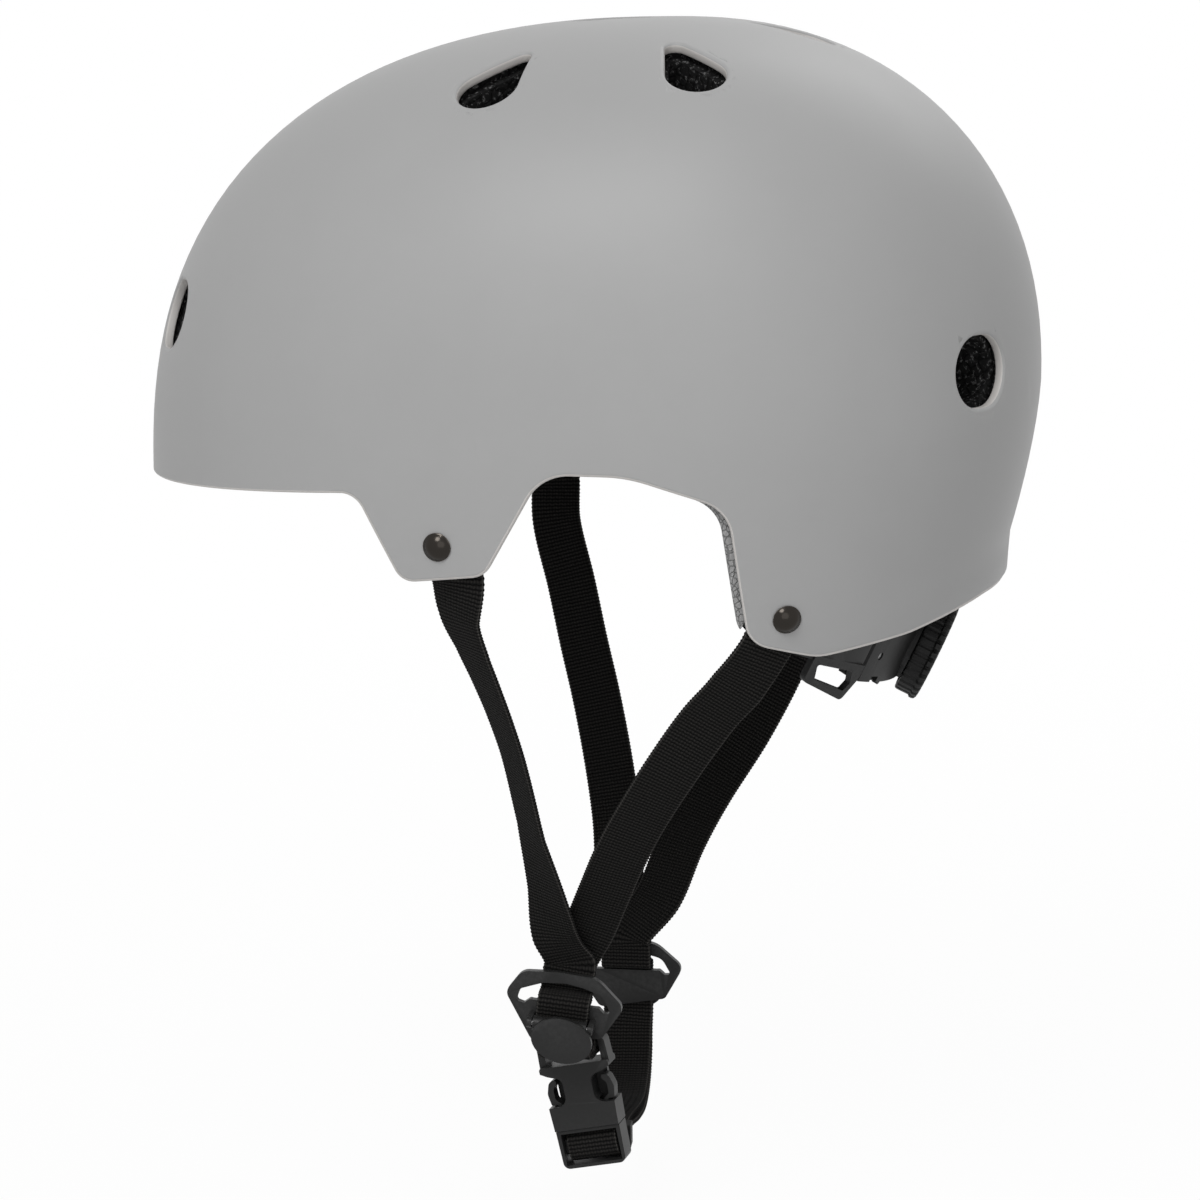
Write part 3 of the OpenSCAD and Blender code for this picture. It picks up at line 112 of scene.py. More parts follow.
Array = np.ndarray
Face = tuple[int, ...]
Wave = Callable[[Array, float, float], Array]
Place = Callable[[Array, Array, Array], Array]
Form = tuple[Array, list[Face]]
Socket = bpy.types.NodeSocket
NodeTree = bpy.types.NodeTree
Piece = bpy.types.Object
HALVINGS = 40  # steps in which a place on the dome is found, far below a micrometre
WEAVE_MIDDLE = 20.0  # where the webbing's middle line lies across its texture, in millimetres
FLIP = np.array([-1.0, 1.0, 1.0])  # carries a point to the helmet's other side


def unit(v: Array) -> Array:
    """Returns vectors scaled to length one."""
    v = np.asarray(v, float)
    return v / np.maximum(np.linalg.norm(v, axis=-1, keepdims=True), 1e-12)


def smooth(t: Array) -> Array:
    """Returns an even rise from 0 to 1."""
    t = np.clip(t, 0.0, 1.0)
    return t * t * (3 - 2 * t)


def turn(axis: str, degrees: float) -> Array:
    """Returns the 4x4 matrix of a turn about one axis."""
    return np.array(Matrix.Rotation(math.radians(degrees), 4, axis))


def shift(x: float, y: float, z: float) -> Array:
    """Returns the 4x4 matrix of a shift."""
    return np.array(Matrix.Translation((x, y, z)))


def moved(points: Iterable, matrix: Array) -> Array:
    """Returns points carried by a 4x4 matrix."""
    points = np.asarray(points, float).reshape(-1, 3)
    return points @ matrix[:3, :3].T + matrix[:3, 3]


def travel(points: Array) -> Array:
    """Returns how far along a line each of its points lies."""
    return np.concatenate([[0], np.cumsum(np.linalg.norm(np.diff(points, axis=0), axis=1))])


def resampled(points: Array, far: Array, even: Array) -> Array:
    """Returns a line's points at other distances along it."""
    return np.stack([np.interp(even, far, points[:, k]) for k in range(points.shape[1])], 1)


# Finishes


class Tree:
    """Short calls for one node tree."""

    def __init__(self, tree: NodeTree) -> None:
        """Keeps the tree."""
        self.tree = tree

    def node(self, kind: str, **values: Any) -> bpy.types.Node:
        """Adds a node.

        Args:
            kind: The node's type name.
            values: Properties of the node to set.

        Returns:
            The new node.
        """
        made = self.tree.nodes.new(kind)
        for name, value in values.items():
            setattr(made, name, value)
        return made

    def feed(self, socket: Socket, value: Any) -> None:
        """Links a socket to another, or sets its constant."""
        if isinstance(value, Socket):
            self.tree.links.new(value, socket)
        else:
            socket.default_value = value

    def maths(self, operation: str, a: Any, b: Any = 0.0, clamp: bool = False) -> Socket:
        """Adds a Math node and returns its result."""
        made = self.node("ShaderNodeMath", operation=operation, use_clamp=clamp)
        self.feed(made.inputs[0], a)
        self.feed(made.inputs[1], b)
        return made.outputs[0]

    def span(self, value: Any, low: float, high: float, to_low: float, to_high: float) -> Socket:
        """Maps a value from one range to another and returns it."""
        made = self.node("ShaderNodeMapRange", clamp=True)
        for socket, given in zip(made.inputs, (value, low, high, to_low, to_high)):
            self.feed(socket, given)
        return made.outputs[0]

    def blend(self, share: Any, a: Any, b: Any) -> Socket:
        """Mixes two colours and returns the result."""
        made = self.node("ShaderNodeMix", data_type="RGBA")
        self.feed(made.inputs[0], share)
        self.feed(made.inputs[6], a)
        self.feed(made.inputs[7], b)
        return made.outputs[2]

    def noise(self, place: Any, scale: Any, detail: float = 2.0, roughness: float = 0.5) -> Socket:
        """Adds a noise texture and returns its value."""
        made = self.node("ShaderNodeTexNoise")
        self.feed(made.inputs["Vector"], place)
        self.feed(made.inputs["Scale"], scale)
        self.feed(made.inputs["Detail"], detail)
        self.feed(made.inputs["Roughness"], roughness)
        return made.outputs[0]

    def group(self, name: str, **values: Any) -> bpy.types.Node:
        """Places a shared group with its own values."""
        made = self.node("ShaderNodeGroup", node_tree=EFFECTS[name]())
        for socket, value in values.items():
            self.feed(made.inputs[socket.replace("_", " ").title()], value)
        return made


def new_group(name: str, inputs: dict[str, float], outputs: Sequence[str]) -> tuple[Tree, dict, dict]:
    """Starts a shared node group.

    Args:
        name: The group's name.
        inputs: Names and defaults of its float inputs.
        outputs: Names of its float outputs.

    Returns:
        The tree, its input sockets and its output sockets by name.
    """
    group = bpy.data.node_groups.new(name, "ShaderNodeTree")
    for label, value in inputs.items():
        group.interface.new_socket(label, in_out="INPUT", socket_type="NodeSocketFloat").default_value = value
    for label in outputs:
        group.interface.new_socket(label, in_out="OUTPUT", socket_type="NodeSocketFloat")
    tree = Tree(group)
    given = {s.name: s for s in tree.node("NodeGroupInput").outputs if s.name}
    wanted = {s.name: s for s in tree.node("NodeGroupOutput").inputs if s.name}
    return tree, given, wanted


def shared(build: Callable[[], NodeTree]) -> Callable[[], NodeTree]:
    """Builds a group once and returns the same one after that."""
    made: list[NodeTree] = []

    def once() -> NodeTree:
        """Returns the one group."""
        if not made:
            made.append(build())
        return made[0]

    return once


@shared
def moulded_grain() -> NodeTree:
    """Fine spark-eroded grain with slow drifts of tone."""
    tree, given, wanted = new_group("moulded_grain", {"Size": 0.4, "Drift": 30.0}, ["Height", "Tone"])
    place = tree.node("ShaderNodeTexCoord").outputs["Object"]
    fine = tree.noise(place, tree.maths("DIVIDE", 1000.0, given["Size"]), 3.0, 0.6)
    slow = tree.noise(place, tree.maths("DIVIDE", 1000.0, given["Drift"]), 3.0, 0.55)
    tree.feed(wanted["Height"], fine)
    tree.feed(wanted["Tone"], slow)
    return tree.tree


@shared
def rubbed_edges() -> NodeTree:
    """A mask along convex edges, broken up by noise."""
    tree, given, wanted = new_group("rubbed_edges", {"From": 0.52, "To": 0.6, "Amount": 0.5}, ["Mask"])
    place = tree.node("ShaderNodeTexCoord").outputs["Object"]
    sharp = tree.node("ShaderNodeNewGeometry").outputs["Pointiness"]
    mask = tree.span(sharp, given["From"], given["To"], 0.0, 1.0)
    broken = tree.span(tree.noise(place, 900.0, 3.0), 0.35, 0.65, 0.45, 1.0)
    tree.feed(wanted["Mask"], tree.maths("MULTIPLY", tree.maths("MULTIPLY", mask, broken), given["Amount"]))
    return tree.tree


@shared
def ribbed_weave() -> NodeTree:
    """Webbing along U in millimetres: cross ribs over fine warp yarns, with a plain selvedge."""
    sizes = {"Pitch": 1.15, "Yarn": 0.95, "Cord": 7.6}
    tree, given, wanted = new_group("ribbed_weave", sizes, ["Height", "Tone"])
    parts = tree.node("ShaderNodeSeparateXYZ")
    tree.feed(parts.inputs[0], tree.node("ShaderNodeUVMap").outputs[0])
    along = tree.maths("MULTIPLY", parts.outputs[0], 1000.0)
    over = tree.maths("MULTIPLY", parts.outputs[1], 1000.0)
    yarns = tree.maths("DIVIDE", over, given["Yarn"])
    stagger = tree.maths("MULTIPLY", tree.maths("PINGPONG", yarns, 1.0), 0.16)
    ribs = tree.maths("ADD", tree.maths("DIVIDE", along, given["Pitch"]), stagger)
    wave = tree.maths("SINE", tree.maths("MULTIPLY", ribs, math.pi))
    crest = tree.maths("POWER", tree.maths("ABSOLUTE", wave), 0.7)
    warp = tree.maths("ABSOLUTE", tree.maths("SINE", tree.maths("MULTIPLY", yarns, math.pi)))
    fuzz = tree.noise(tree.node("ShaderNodeTexCoord").outputs["Object"], 2600.0, 3.0, 0.7)
    height = tree.maths("ADD", crest, tree.maths("MULTIPLY", tree.maths("ADD", warp, fuzz), 0.22))
    tree.feed(wanted["Height"], height)
    # Tone is painted light: lighter on rib and yarn crests and along the selvedge cords as a painted
    # highlight, dark between them as painted shade, broken by random fuzz.
    lit = tree.maths("MULTIPLY", tree.maths("POWER", crest, 2.2), tree.span(warp, 0, 1, 0.14, 0.42))
    middle = tree.maths("ABSOLUTE", tree.maths("SUBTRACT", over, WEAVE_MIDDLE))
    aside = tree.maths("SUBTRACT", middle, given["Cord"])
    cord = tree.span(tree.maths("ABSOLUTE", aside), 0.1, 0.32, 1.0, 0.0)
    lit = tree.maths("MAXIMUM", lit, tree.maths("MULTIPLY", cord, tree.span(crest, 0.0, 1.0, 0.3, 1.0)))
    tree.feed(wanted["Tone"], tree.maths("MULTIPLY", lit, tree.span(fuzz, 0.3, 0.7, 0.5, 1.0)))
    return tree.tree


@shared
def moulded_beads() -> NodeTree:
    """Bead foam: swollen cells, dark joints between them and small light specks."""
    tree, given, wanted = new_group("moulded_beads", {"Bead": 3.2}, ["Height", "Joint", "Speck"])
    place = tree.node("ShaderNodeTexCoord").outputs["Object"]
    scale = tree.maths("DIVIDE", 1000.0, given["Bead"])
    cells = tree.node("ShaderNodeTexVoronoi", feature="DISTANCE_TO_EDGE")
    tree.feed(cells.inputs["Vector"], place)
    tree.feed(cells.inputs["Scale"], scale)
    joint = tree.span(cells.outputs["Distance"], 0.0, 0.16, 1.0, 0.0)
    specks = tree.noise(place, tree.maths("MULTIPLY", scale, 2.6), 3.0, 0.7)
    tree.feed(wanted["Height"], tree.maths("SUBTRACT", 1.0, tree.maths("POWER", joint, 1.6)))
    tree.feed(wanted["Joint"], joint)
    tree.feed(wanted["Speck"], tree.span(specks, 0.56, 0.68, 0.0, 1.0))
    return tree.tree


@shared
def knit_cloth() -> NodeTree:
    """Brushed knit of the cushions: small dimples in rows and a soft nap."""
    tree, given, wanted = new_group("knit_cloth", {"Stitch": 1.1}, ["Height", "Tone"])
    place = tree.node("ShaderNodeTexCoord").outputs["Object"]
    cells = tree.node("ShaderNodeTexVoronoi", feature="F1")
    tree.feed(cells.inputs["Vector"], place)
    tree.feed(cells.inputs["Scale"], tree.maths("DIVIDE", 1000.0, given["Stitch"]))
    tree.feed(cells.inputs["Randomness"], 0.35)
    nap = tree.noise(place, 1800.0, 4.0, 0.7)
    far = cells.outputs["Distance"]
    tree.feed(wanted["Height"], tree.maths("ADD", far, tree.maths("MULTIPLY", nap, 0.5)))
    # Tone: the random nap, darkened into the knit's dimples as painted shade.
    tree.feed(wanted["Tone"], tree.maths("MULTIPLY", nap, tree.span(far, 0.1, 0.6, 0.4, 1.0)))
    return tree.tree


EFFECTS: dict[str, Callable[[], NodeTree]] = {
    "grain": moulded_grain,
    "wear": rubbed_edges,
    "weave": ribbed_weave,
    "beads": moulded_beads,
    "knit": knit_cloth,
}

Colour = tuple[float, float, float, float]


def grey(value: float, warm: float = 0.0) -> Colour:
    """Returns a display grey from 0 to 255 as a linear colour, warmer or cooler by some steps."""
    def linear(v: float) -> float:
        """Turns a display value into a linear one."""
        v = v / 255
        return v / 12.92 if v <= 0.04045 else ((v + 0.055) / 1.055) ** 2.4
    return linear(value + warm), linear(value), linear(value - warm), 1.0


@dataclass(frozen=True)
class Finish:
    """What every finish has: a name and a shader's constants."""

    name: str
    roughness: float = 0.5
    metallic: float = 0.0
    specular: float = 0.5
    sheen: float = 0.0

    def material(self) -> bpy.types.Material:
        """Returns the material, built on first use."""
        found = bpy.data.materials.get(self.name)
        if found:
            return found
        made = bpy.data.materials.new(self.name)
        made.use_nodes = True
        tree = Tree(made.node_tree)
        shader = made.node_tree.nodes["Principled BSDF"]
        for label, value in (("Roughness", self.roughness), ("Metallic", self.metallic),
                             ("Specular IOR Level", self.specular), ("Sheen Weight", self.sheen),
                             ("Sheen Roughness", 0.6)):
            shader.inputs[label].default_value = value
        self.dress(tree, shader.inputs)
        return made

    def dress(self, tree: Tree, sockets: Any) -> None:
        """Links what changes over the surface."""
        raise NotImplementedError

    def relief(self, tree: Tree, sockets: Any, height: Any, depth: float) -> None:
        """Feeds a bump of some depth in millimetres into the shader."""
        bump = tree.node("ShaderNodeBump")
        bump.inputs["Distance"].default_value = depth * MM
        tree.feed(bump.inputs["Height"], height)
        tree.feed(sockets["Normal"], bump.outputs[0])


@dataclass(frozen=True)
class Moulded(Finish):
    """Moulded plastic or paint with grain, a drift of tone and paler rubbed edges."""

    base: Colour = (0.1, 0.1, 0.1, 1.0)
    rubbed: Colour = (0.2, 0.2, 0.2, 1.0)
    rub: float = 0.4
    drift: float = 0.04
    size: float = 0.4
    depth: float = 0.02
    spread: float = 0.06

    def dress(self, tree: Tree, sockets: Any) -> None:
        """Links grain and wear."""
        grain = tree.group("grain", size=self.size, drift=35.0)
        wear = tree.group("wear", amount=self.rub)
        dark = tuple(c * (1 - self.drift) for c in self.base[:3]) + (1.0,)
        light = tuple(c * (1 + self.drift) for c in self.base[:3]) + (1.0,)
        plain = tree.blend(tree.span(grain.outputs["Tone"], 0.35, 0.65, 0.0, 1.0), dark, light)
        tree.feed(sockets["Base Color"], tree.blend(wear.outputs["Mask"], plain, self.rubbed))
        low, high = self.roughness - self.spread, self.roughness + self.spread
        tree.feed(sockets["Roughness"], tree.span(grain.outputs["Tone"], 0.3, 0.7, low, high))
        self.relief(tree, sockets, grain.outputs["Height"], self.depth)


@dataclass(frozen=True)
class BeadFoam(Finish):
    """Moulded bead foam."""

    base: Colour = (0.02, 0.02, 0.02, 1.0)
    joint: Colour = (0.008, 0.008, 0.008, 1.0)
    speck: Colour = (0.12, 0.12, 0.12, 1.0)
    bead: float = 3.2

    def dress(self, tree: Tree, sockets: Any) -> None:
        """Links beads and specks."""
        beads = tree.group("beads", bead=self.bead)
        cells = tree.blend(beads.outputs["Joint"], self.base, self.joint)
        tree.feed(sockets["Base Color"], tree.blend(beads.outputs["Speck"], cells, self.speck))
        tree.feed(sockets["Roughness"], tree.span(beads.outputs["Joint"], 0.0, 1.0, self.roughness, 0.95))
        self.relief(tree, sockets, beads.outputs["Height"], 0.25)


@dataclass(frozen=True)
class Webbing(Finish):
    """Woven nylon webbing."""

    # The crest colour is a painted highlight on the ribs and the valley colour painted shade between them;
    # the yarn itself is one black.
    valley_shade: Colour = (0.0015, 0.0015, 0.0015, 1.0)
    crest: Colour = (0.07, 0.066, 0.062, 1.0)

    def dress(self, tree: Tree, sockets: Any) -> None:
        """Links the ribs."""
        weave = tree.group("weave")
        tree.feed(sockets["Base Color"], tree.blend(weave.outputs["Tone"], self.valley_shade, self.crest))
        tree.feed(sockets["Roughness"], tree.span(weave.outputs["Tone"], 0.0, 1.0, 0.9, self.roughness))
        self.relief(tree, sockets, weave.outputs["Height"], 0.3)


@dataclass(frozen=True)
class Cloth(Finish):
    """Brushed knit cloth over soft foam."""

    low: Colour = (0.006, 0.006, 0.007, 1.0)
    high: Colour = (0.05, 0.05, 0.053, 1.0)
    stitch: float = 1.1

    def dress(self, tree: Tree, sockets: Any) -> None:
        """Links the knit."""
        knit = tree.group("knit", stitch=self.stitch)
        tree.feed(sockets["Base Color"], tree.blend(knit.outputs["Tone"], self.low, self.high))
        tree.feed(sockets["Roughness"], tree.span(knit.outputs["Tone"], 0.0, 1.0, 0.95, self.roughness))
        self.relief(tree, sockets, knit.outputs["Height"], 0.12)


class Look(Enum):
    """The finishes of the helmet's pieces."""

    SHELL = Moulded("shell_matt_grey", roughness=0.5, base=grey(157), rubbed=grey(171, 1), rub=0.25,
                    drift=0.012, size=0.35, depth=0.008, spread=0.03, specular=0.35)
    # The shell's own grey paint, painted lighter: a painted highlight on the rounded rim and painted bounce
    # light on the downward-facing collar walls.
    SHELL_PAINTED_LIGHT = Moulded("shell_painted_light", roughness=0.55, base=grey(188, 3), rubbed=grey(198, 3), rub=0.3,
                         drift=0.02, size=0.5, depth=0.01)
    FOAM = BeadFoam("liner_beads", roughness=0.75, base=grey(26), joint=grey(9), speck=grey(116),
                    specular=0.15)
    # The same black bead foam as the liner, painted mid-grey: painted light standing in for strong grazing
    # light on the edge behind the ear.
    FOAM_PAINTED_LIGHT = BeadFoam("liner_beads_painted_light", roughness=0.75, base=grey(150), joint=grey(118),
                         speck=grey(184), bead=1.6, specular=0.2)
    WEBBING = Webbing("black_webbing", roughness=0.7, sheen=0.01, specular=0.07)
    PLASTIC = Moulded("charcoal_plastic", roughness=0.42, base=grey(32), rubbed=grey(66), rub=0.35,
                      drift=0.06, size=0.3, depth=0.012, specular=0.2)
    DIAL = Moulded("dial_plastic", roughness=0.5, base=grey(26), rubbed=grey(60), rub=0.5, drift=0.06,
                   size=0.3, depth=0.014, specular=0.16)
    RUBBER = Moulded("keeper_rubber", roughness=0.6, base=grey(22), rubbed=grey(44), rub=0.3, drift=0.05,
                     size=0.25, depth=0.012, specular=0.2)
    RIVET = Moulded("black_nickel", roughness=0.17, metallic=1.0, base=grey(48, 3), rubbed=grey(110, 6),
                    rub=0.3, drift=0.05, size=0.6, depth=0.003)
    STEEL = Moulded("dark_zinc_steel", roughness=0.35, metallic=1.0, base=grey(110), rubbed=grey(150),
                    rub=0.3, drift=0.05, size=0.5, depth=0.004)
    CUSHION = Cloth("cushion_knit", roughness=0.85, sheen=0.12, specular=0.12)
    BINDING = Cloth("cushion_binding", roughness=0.8, sheen=0.05, low=grey(10), high=grey(40), stitch=0.6,
                    specular=0.15)
    HOOK = Cloth("hook_tape", roughness=0.7, low=grey(24), high=grey(70), stitch=0.7, specular=0.2)


# Meshes


@dataclass
class Body:
    """Points in millimetres and faces, which may be added to each other."""

    points: list[Array] = field(default_factory=list)
    faces: list[Face] = field(default_factory=list)
    marks: list[int] = field(default_factory=list)
    count: int = 0

    def add(self, points: Array, faces: Iterable[Face], mark: int = 0) -> None:
        """Adds points with the faces between them, all of one material."""
        points = np.asarray(points, float).reshape(-1, 3)
        faces = [tuple(int(i) + self.count for i in f) for f in faces]
        self.points.append(points)
        self.faces += faces
        self.marks += [mark] * len(faces)
        self.count += len(points)

    def mesh(self, name: str) -> bpy.types.Mesh:
        """Returns the Blender mesh in metres."""
        mesh = bpy.data.meshes.new(name)
        mesh.from_pydata((np.concatenate(self.points) * MM).tolist(), [], self.faces)
        mesh.polygons.foreach_set("material_index", self.marks)
        mesh.polygons.foreach_set("use_smooth", [True] * len(self.faces))
        mesh.update()
        return mesh


def tidy_normals(mesh: bpy.types.Mesh, merge: float = 0.0) -> None:
    """Turns the faces of closed parts outward, joining points nearer than a distance in metres."""
    work = bmesh.new()
    work.from_mesh(mesh)
    if merge:
        bmesh.ops.remove_doubles(work, verts=work.verts, dist=merge)
    bmesh.ops.recalc_face_normals(work, faces=work.faces)
    work.to_mesh(mesh)
    work.free()


def show(mesh: bpy.types.Mesh, looks: Sequence[Look]) -> Piece:
    """Puts a mesh in the scene with its materials."""
    piece = bpy.data.objects.new(mesh.name, mesh)
    bpy.context.scene.collection.objects.link(piece)
    marks = np.empty(len(mesh.polygons), np.int32)
    mesh.polygons.foreach_get("material_index", marks)
    mesh.materials.clear()
    for look in looks:
        mesh.materials.append(look.value.material())
    mesh.polygons.foreach_set("material_index", marks)
    return piece


def applied(piece: Piece) -> None:
    """Bakes a piece's modifiers into its mesh."""
    bpy.context.view_layer.update()
    ready = piece.evaluated_get(bpy.context.evaluated_depsgraph_get())
    mesh = bpy.data.meshes.new_from_object(ready)
    mesh.name = piece.name
    piece.modifiers.clear()
    piece.data = mesh


def grid_faces(rows: int, cols: int, closed: bool = False) -> list[Face]:
    """Returns the quads of a grid listed row by row, joined round its columns if closed."""
    wide = cols if closed else cols - 1
    return [
        (j * cols + i, j * cols + (i + 1) % cols, (j + 1) * cols + (i + 1) % cols, (j + 1) * cols + i)
        for j in range(rows - 1)
        for i in range(wide)
    ]


def lathe(profile: Sequence[tuple[float, float]], around: int, wave: Wave | None = None) -> Form:
    """Turns a profile of (radius, height) about +Z.

    Args:
        profile: The points, from the axis at one end to the axis at the other.
        around: How many points each ring has.
        wave: Changes a ring's radius by its angles, radius and height.

    Returns:
        Points and faces.
    """
    angle = np.arange(around) * 2 * math.pi / around
    rings = []
    for r, z in profile:
        radius = wave(angle, r, z) if wave else np.full(around, r)
        rings.append(np.stack([radius * np.cos(angle), radius * np.sin(angle), np.full(around, z)], 1))
    return np.concatenate(rings), grid_faces(len(profile), around, closed=True)


# The dome


@dataclass(frozen=True)
class Dome:
    """The helmet's outer form: a plan oval whose wall curves in to the crown and tucks in below."""

    half_width: float = 107.0
    front: float = 157.2
    rear: float = 108.4
    widest_y: float = 24.0
    crown: float = 137.0
    plan: float = 2.25
    bellies: tuple[float, float, float] = (3.0, 25.0, 32.0)
    bulges: tuple[float, float, float] = (2.4, 2.6, 2.2)
    tucks: tuple[float, float, float] = (0.0, 0.06, 0.115)
    tuck_span: float = 60.0
    lip_flare: float = 2.5
    lip_heights: tuple[float, float] = (-15.0, -24.0)

    def mixed(self, u: Array, values: tuple[float, float, float]) -> Array:
        """Returns a value that goes from front to side to rear with the direction."""
        ahead = np.minimum(np.sin(u), 0) ** 2
        behind = np.maximum(np.sin(u), 0) ** 2
        return values[0] * ahead + values[1] * (1 - ahead - behind) + values[2] * behind

    def reach(self, u: Array, d: float) -> Array:
        """Returns how far the plan reaches in a direction, d inside the skin."""
        far = np.where(np.sin(u) < 0, self.front, self.rear) - d
        n = self.plan
        return ((np.abs(np.cos(u)) / (self.half_width - d)) ** n + (np.abs(np.sin(u)) / far) ** n) ** (-1 / n)

    def radius(self, u: Array, z: Array, d: float) -> Array:
        """Returns the distance from the middle line at a height."""
        top, bulge, tuck = (self.mixed(u, v) for v in (self.bellies, self.bulges, self.tucks))
        share = np.clip((z - top) / (self.crown - d - top), 0, 1)
        upper = (1 - share**bulge) ** (1 / bulge)
        lower = 1 - tuck * (np.maximum(top - z, 0) / self.tuck_span) ** 1.5
        high, low = self.lip_heights
        lip = self.lip_flare * np.maximum(np.sin(u), 0) ** 6 * smooth((high - z) / (high - low))
        return self.reach(u, d) * np.where(z > top, upper, lower) + np.where(z > top, 0, lip)

    def skin(self, u: Array, z: Array, d: float = 0.0) -> Array:
        """Returns points by direction and height."""
        r = self.radius(u, z, d)
        return np.stack([r * np.cos(u), self.widest_y + r * np.sin(u), z + 0 * r], -1)

    def crown_skin(self, x: Array, y: Array, d: float = 0.0) -> Array:
        """Returns points by their place in plan."""
        u = np.arctan2(y - self.widest_y, x)
        top, bulge = self.mixed(u, self.bellies), self.mixed(u, self.bulges)
        share = np.hypot(x, y - self.widest_y) / self.reach(u, d)
        z = top + (self.crown - d - top) * np.clip(1 - share**bulge, 0, 1) ** (1 / bulge)
        return np.stack([x + 0 * z, y + 0 * z, z], -1)

    def level(self, p: Array) -> Array:
        """Returns a number below zero inside the skin and above zero outside it."""
        u = np.arctan2(p[..., 1] - self.widest_y, p[..., 0])
        r = np.hypot(p[..., 0], p[..., 1] - self.widest_y)
        top, bulge = self.mixed(u, self.bellies), self.mixed(u, self.bulges)
        share = np.maximum(p[..., 2] - top, 0) / (self.crown - top)
        above = (r / self.reach(u, 0)) ** bulge + share**bulge - 1
        below = r / self.radius(u, np.minimum(p[..., 2], top), 0) - 1
        return np.where(p[..., 2] > top, above, below)

    def normal(self, p: Array) -> Array:
        """Returns the outward directions at points of the skin."""
        step = np.eye(3) * 0.4
        return unit(np.stack([self.level(p + s) - self.level(p - s) for s in step], -1))

    def onto(self, p: Array, ray: Array, span: float = 25.0) -> Array:
        """Carries points along a ray to the skin."""
        low, high = np.full(p.shape[:-1], -span), np.full(p.shape[:-1], span)
        for _ in range(HALVINGS):
            mid = (low + high) / 2
            out = self.level(p + mid[..., None] * ray) > 0
            high, low = np.where(out, mid, high), np.where(out, low, mid)
        return p + ((low + high) / 2)[..., None] * ray

    def wall_normal(self, degrees: float, z: float) -> Array:
        """Returns the outward direction at one place, as the solids have it."""
        u, h = math.radians(degrees), math.radians(1)
        sides = self.skin(np.array([u + h, u - h]), np.array([z, z]))
        rise = self.skin(np.array([u, u]), np.array([z + 1, z - 1]))
        return unit(np.cross(sides[0] - sides[1], rise[0] - rise[1]))

    def top_normal(self, x: float, y: float) -> Array:
        """Returns the outward direction above a place in plan."""
        across = self.crown_skin(np.array([x + 1, x - 1]), np.array([y, y]))
        along = self.crown_skin(np.array([x, x]), np.array([y + 1, y - 1]))
        return unit(np.cross(across[0] - across[1], along[0] - along[1]))


DOME = Dome()
Corner = tuple[float, float, float]
SHELL_RIM: tuple[Corner, ...] = (
    (-160, 0.5, 0), (-55.8, 8.4, 7), (-42.3, -16.3, 6), (-18.2, -13.5, 7), (-1.5, 16, 13), (22, 15.8, 40),
    (49.6, 7.2, 11), (55, -31.5, 8), (74, -36.5, 14), (98, -32.5, 10), (118, -26.5, 6), (160, -23.5, 0),
)
RIM_SET = 1.2
LINER_SHOW = 2.8


def liner_rim() -> tuple[Corner, ...]:
    """Returns the liner's lower edge, which stands forward of the shell's behind the ear."""
    made = []
    for i, (y, z, r) in enumerate(SHELL_RIM):
        back = LINER_SHOW if i in (6, 7) else 0.0
        inset = RIM_SET if i in (1, 2) else -RIM_SET if i in (3, 4) else 0.0
        made.append((y - back + inset, z + (-0.4 if i == 6 else RIM_SET), r))
    return tuple(made)


